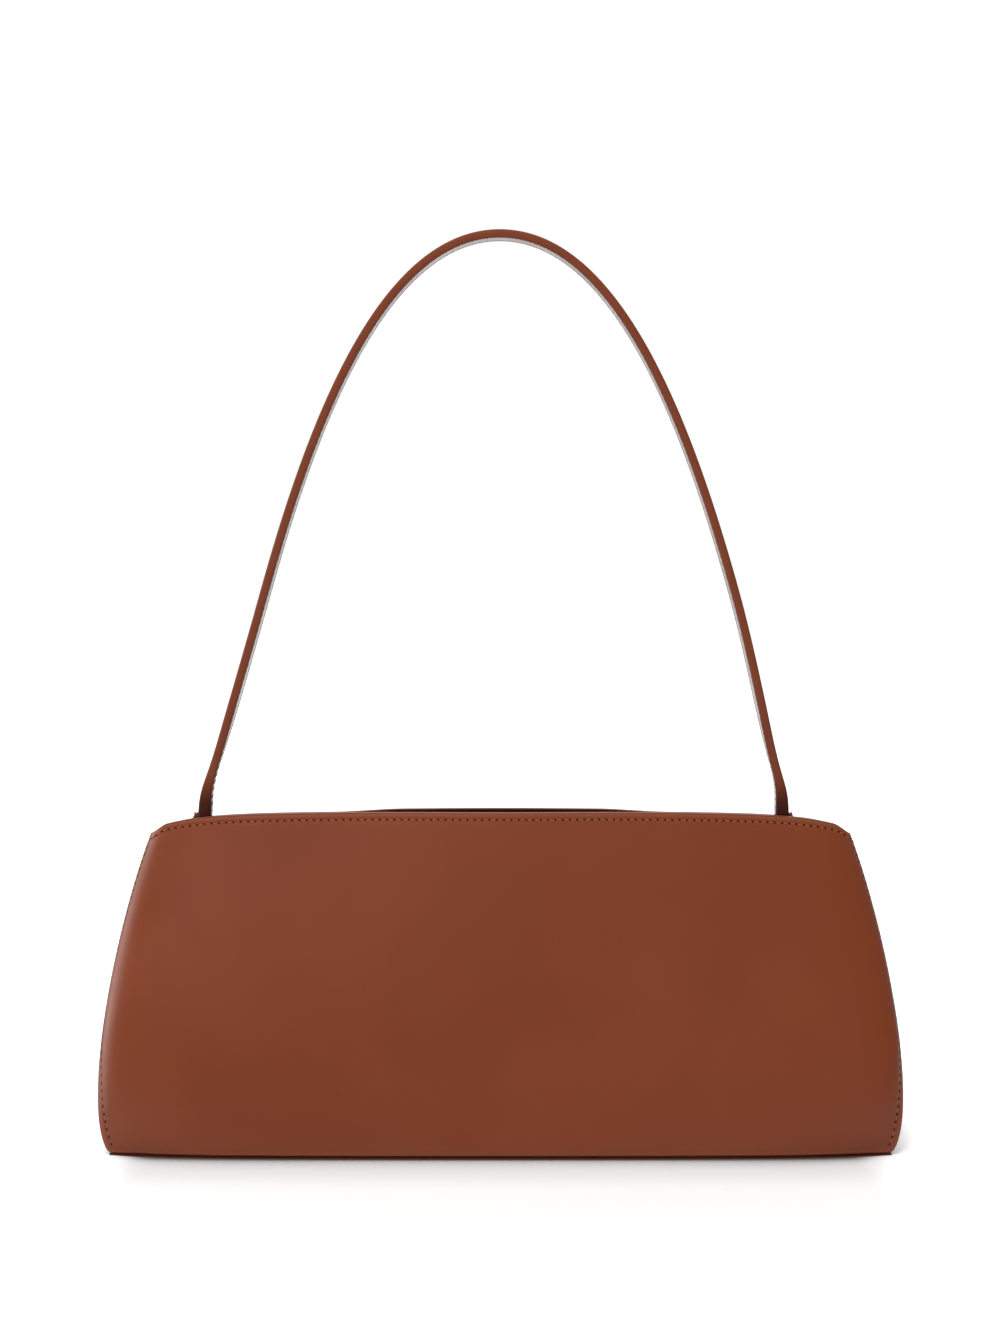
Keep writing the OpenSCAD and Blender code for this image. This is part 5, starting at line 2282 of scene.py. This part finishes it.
    def _ambient(self, tree: bpy.types.NodeTree, x: bpy.types.NodeSocket
                 ) -> bpy.types.NodeSocket:
        """Soft light for the bag, weaker from both sides and weakest from the right.

        Args:
            tree: The world's node tree.
            x: Sideways part of a ray's direction.

        Returns:
            The socket that holds the light.
        """
        left = add_node(tree, "ShaderNodeMapRange", EASED, {
            "Value": x, "From Min": -0.95, "From Max": -0.1, "To Min": self.ambient * 0.1,
            "To Max": self.ambient}).outputs["Result"]
        right = add_node(tree, "ShaderNodeMapRange", EASED, {
            "Value": x, "From Min": 0.0, "From Max": 0.8, "To Min": 1.0,
            "To Max": 0.05}).outputs["Result"]
        return add_node(tree, "ShaderNodeMath", {"operation": "MULTIPLY"},
                        {0: left, 1: right}).outputs[0]

    def _backdrop(self, tree: bpy.types.NodeTree, rays: bpy.types.Node,
                  x: bpy.types.NodeSocket, y: bpy.types.NodeSocket) -> bpy.types.NodeSocket:
        """White to the eye; for the gloss, the studio has an unlit end in front of the bag.

        Args:
            tree: The world's tree.
            rays: The Light Path node.
            x: Part of the direction to the right.
            y: Part of the direction to the back.

        Returns:
            The strength.
        """
        ahead = add_node(tree, "ShaderNodeMapRange", EASED, {
            "Value": y, "From Min": -0.6, "From Max": 0.05, "To Min": self.unlit,
            "To Max": 1.0}).outputs["Result"]
        right = add_node(tree, "ShaderNodeMapRange", EASED, {
            "Value": x, "From Min": 0.3, "From Max": 0.95, "To Min": 1.0,
            "To Max": 0.4}).outputs["Result"]
        dim = add_node(tree, "ShaderNodeMath", {"operation": "MULTIPLY"},
                       {0: ahead, 1: right}).outputs[0]
        return add_node(tree, "ShaderNodeMix", {"data_type": "FLOAT"}, {
            0: rays.outputs["Is Glossy Ray"], 2: 1.0, 3: dim}).outputs[0]


def dress_snap(wardrobe: Wardrobe) -> None:
    """Metal for the snap's halves, which stay as the frame has them.

    Args:
        wardrobe: The finished materials.
    """
    for name in ("front_snap_socket", "back_snap_stud"):
        dress(bpy.data.objects[name], wardrobe.brass)
    for name in ("front_snap_magnet", "front_snap_washer", "back_snap_washer"):
        dress(bpy.data.objects[name], wardrobe.steel)


def main() -> None:
    """Dress the whole bag and set up the studio."""
    logging.basicConfig(level=logging.INFO, format="%(message)s")
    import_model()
    bpy.context.scene.view_settings.view_transform = "Standard"
    Studio().build()
    wardrobe = Wardrobe()
    stitches = StitchTree(wardrobe)
    Base(wardrobe).build()
    for side in Side:
        SideWall(side, wardrobe, stitches).build()
    for end in End:
        Gusset(end, wardrobe).build()
    Strap(wardrobe, stitches).build()
    SlipPocket(wardrobe, stitches).build()
    dress_snap(wardrobe)
    bpy.context.view_layer.update()


if __name__ == "__main__":
    main()
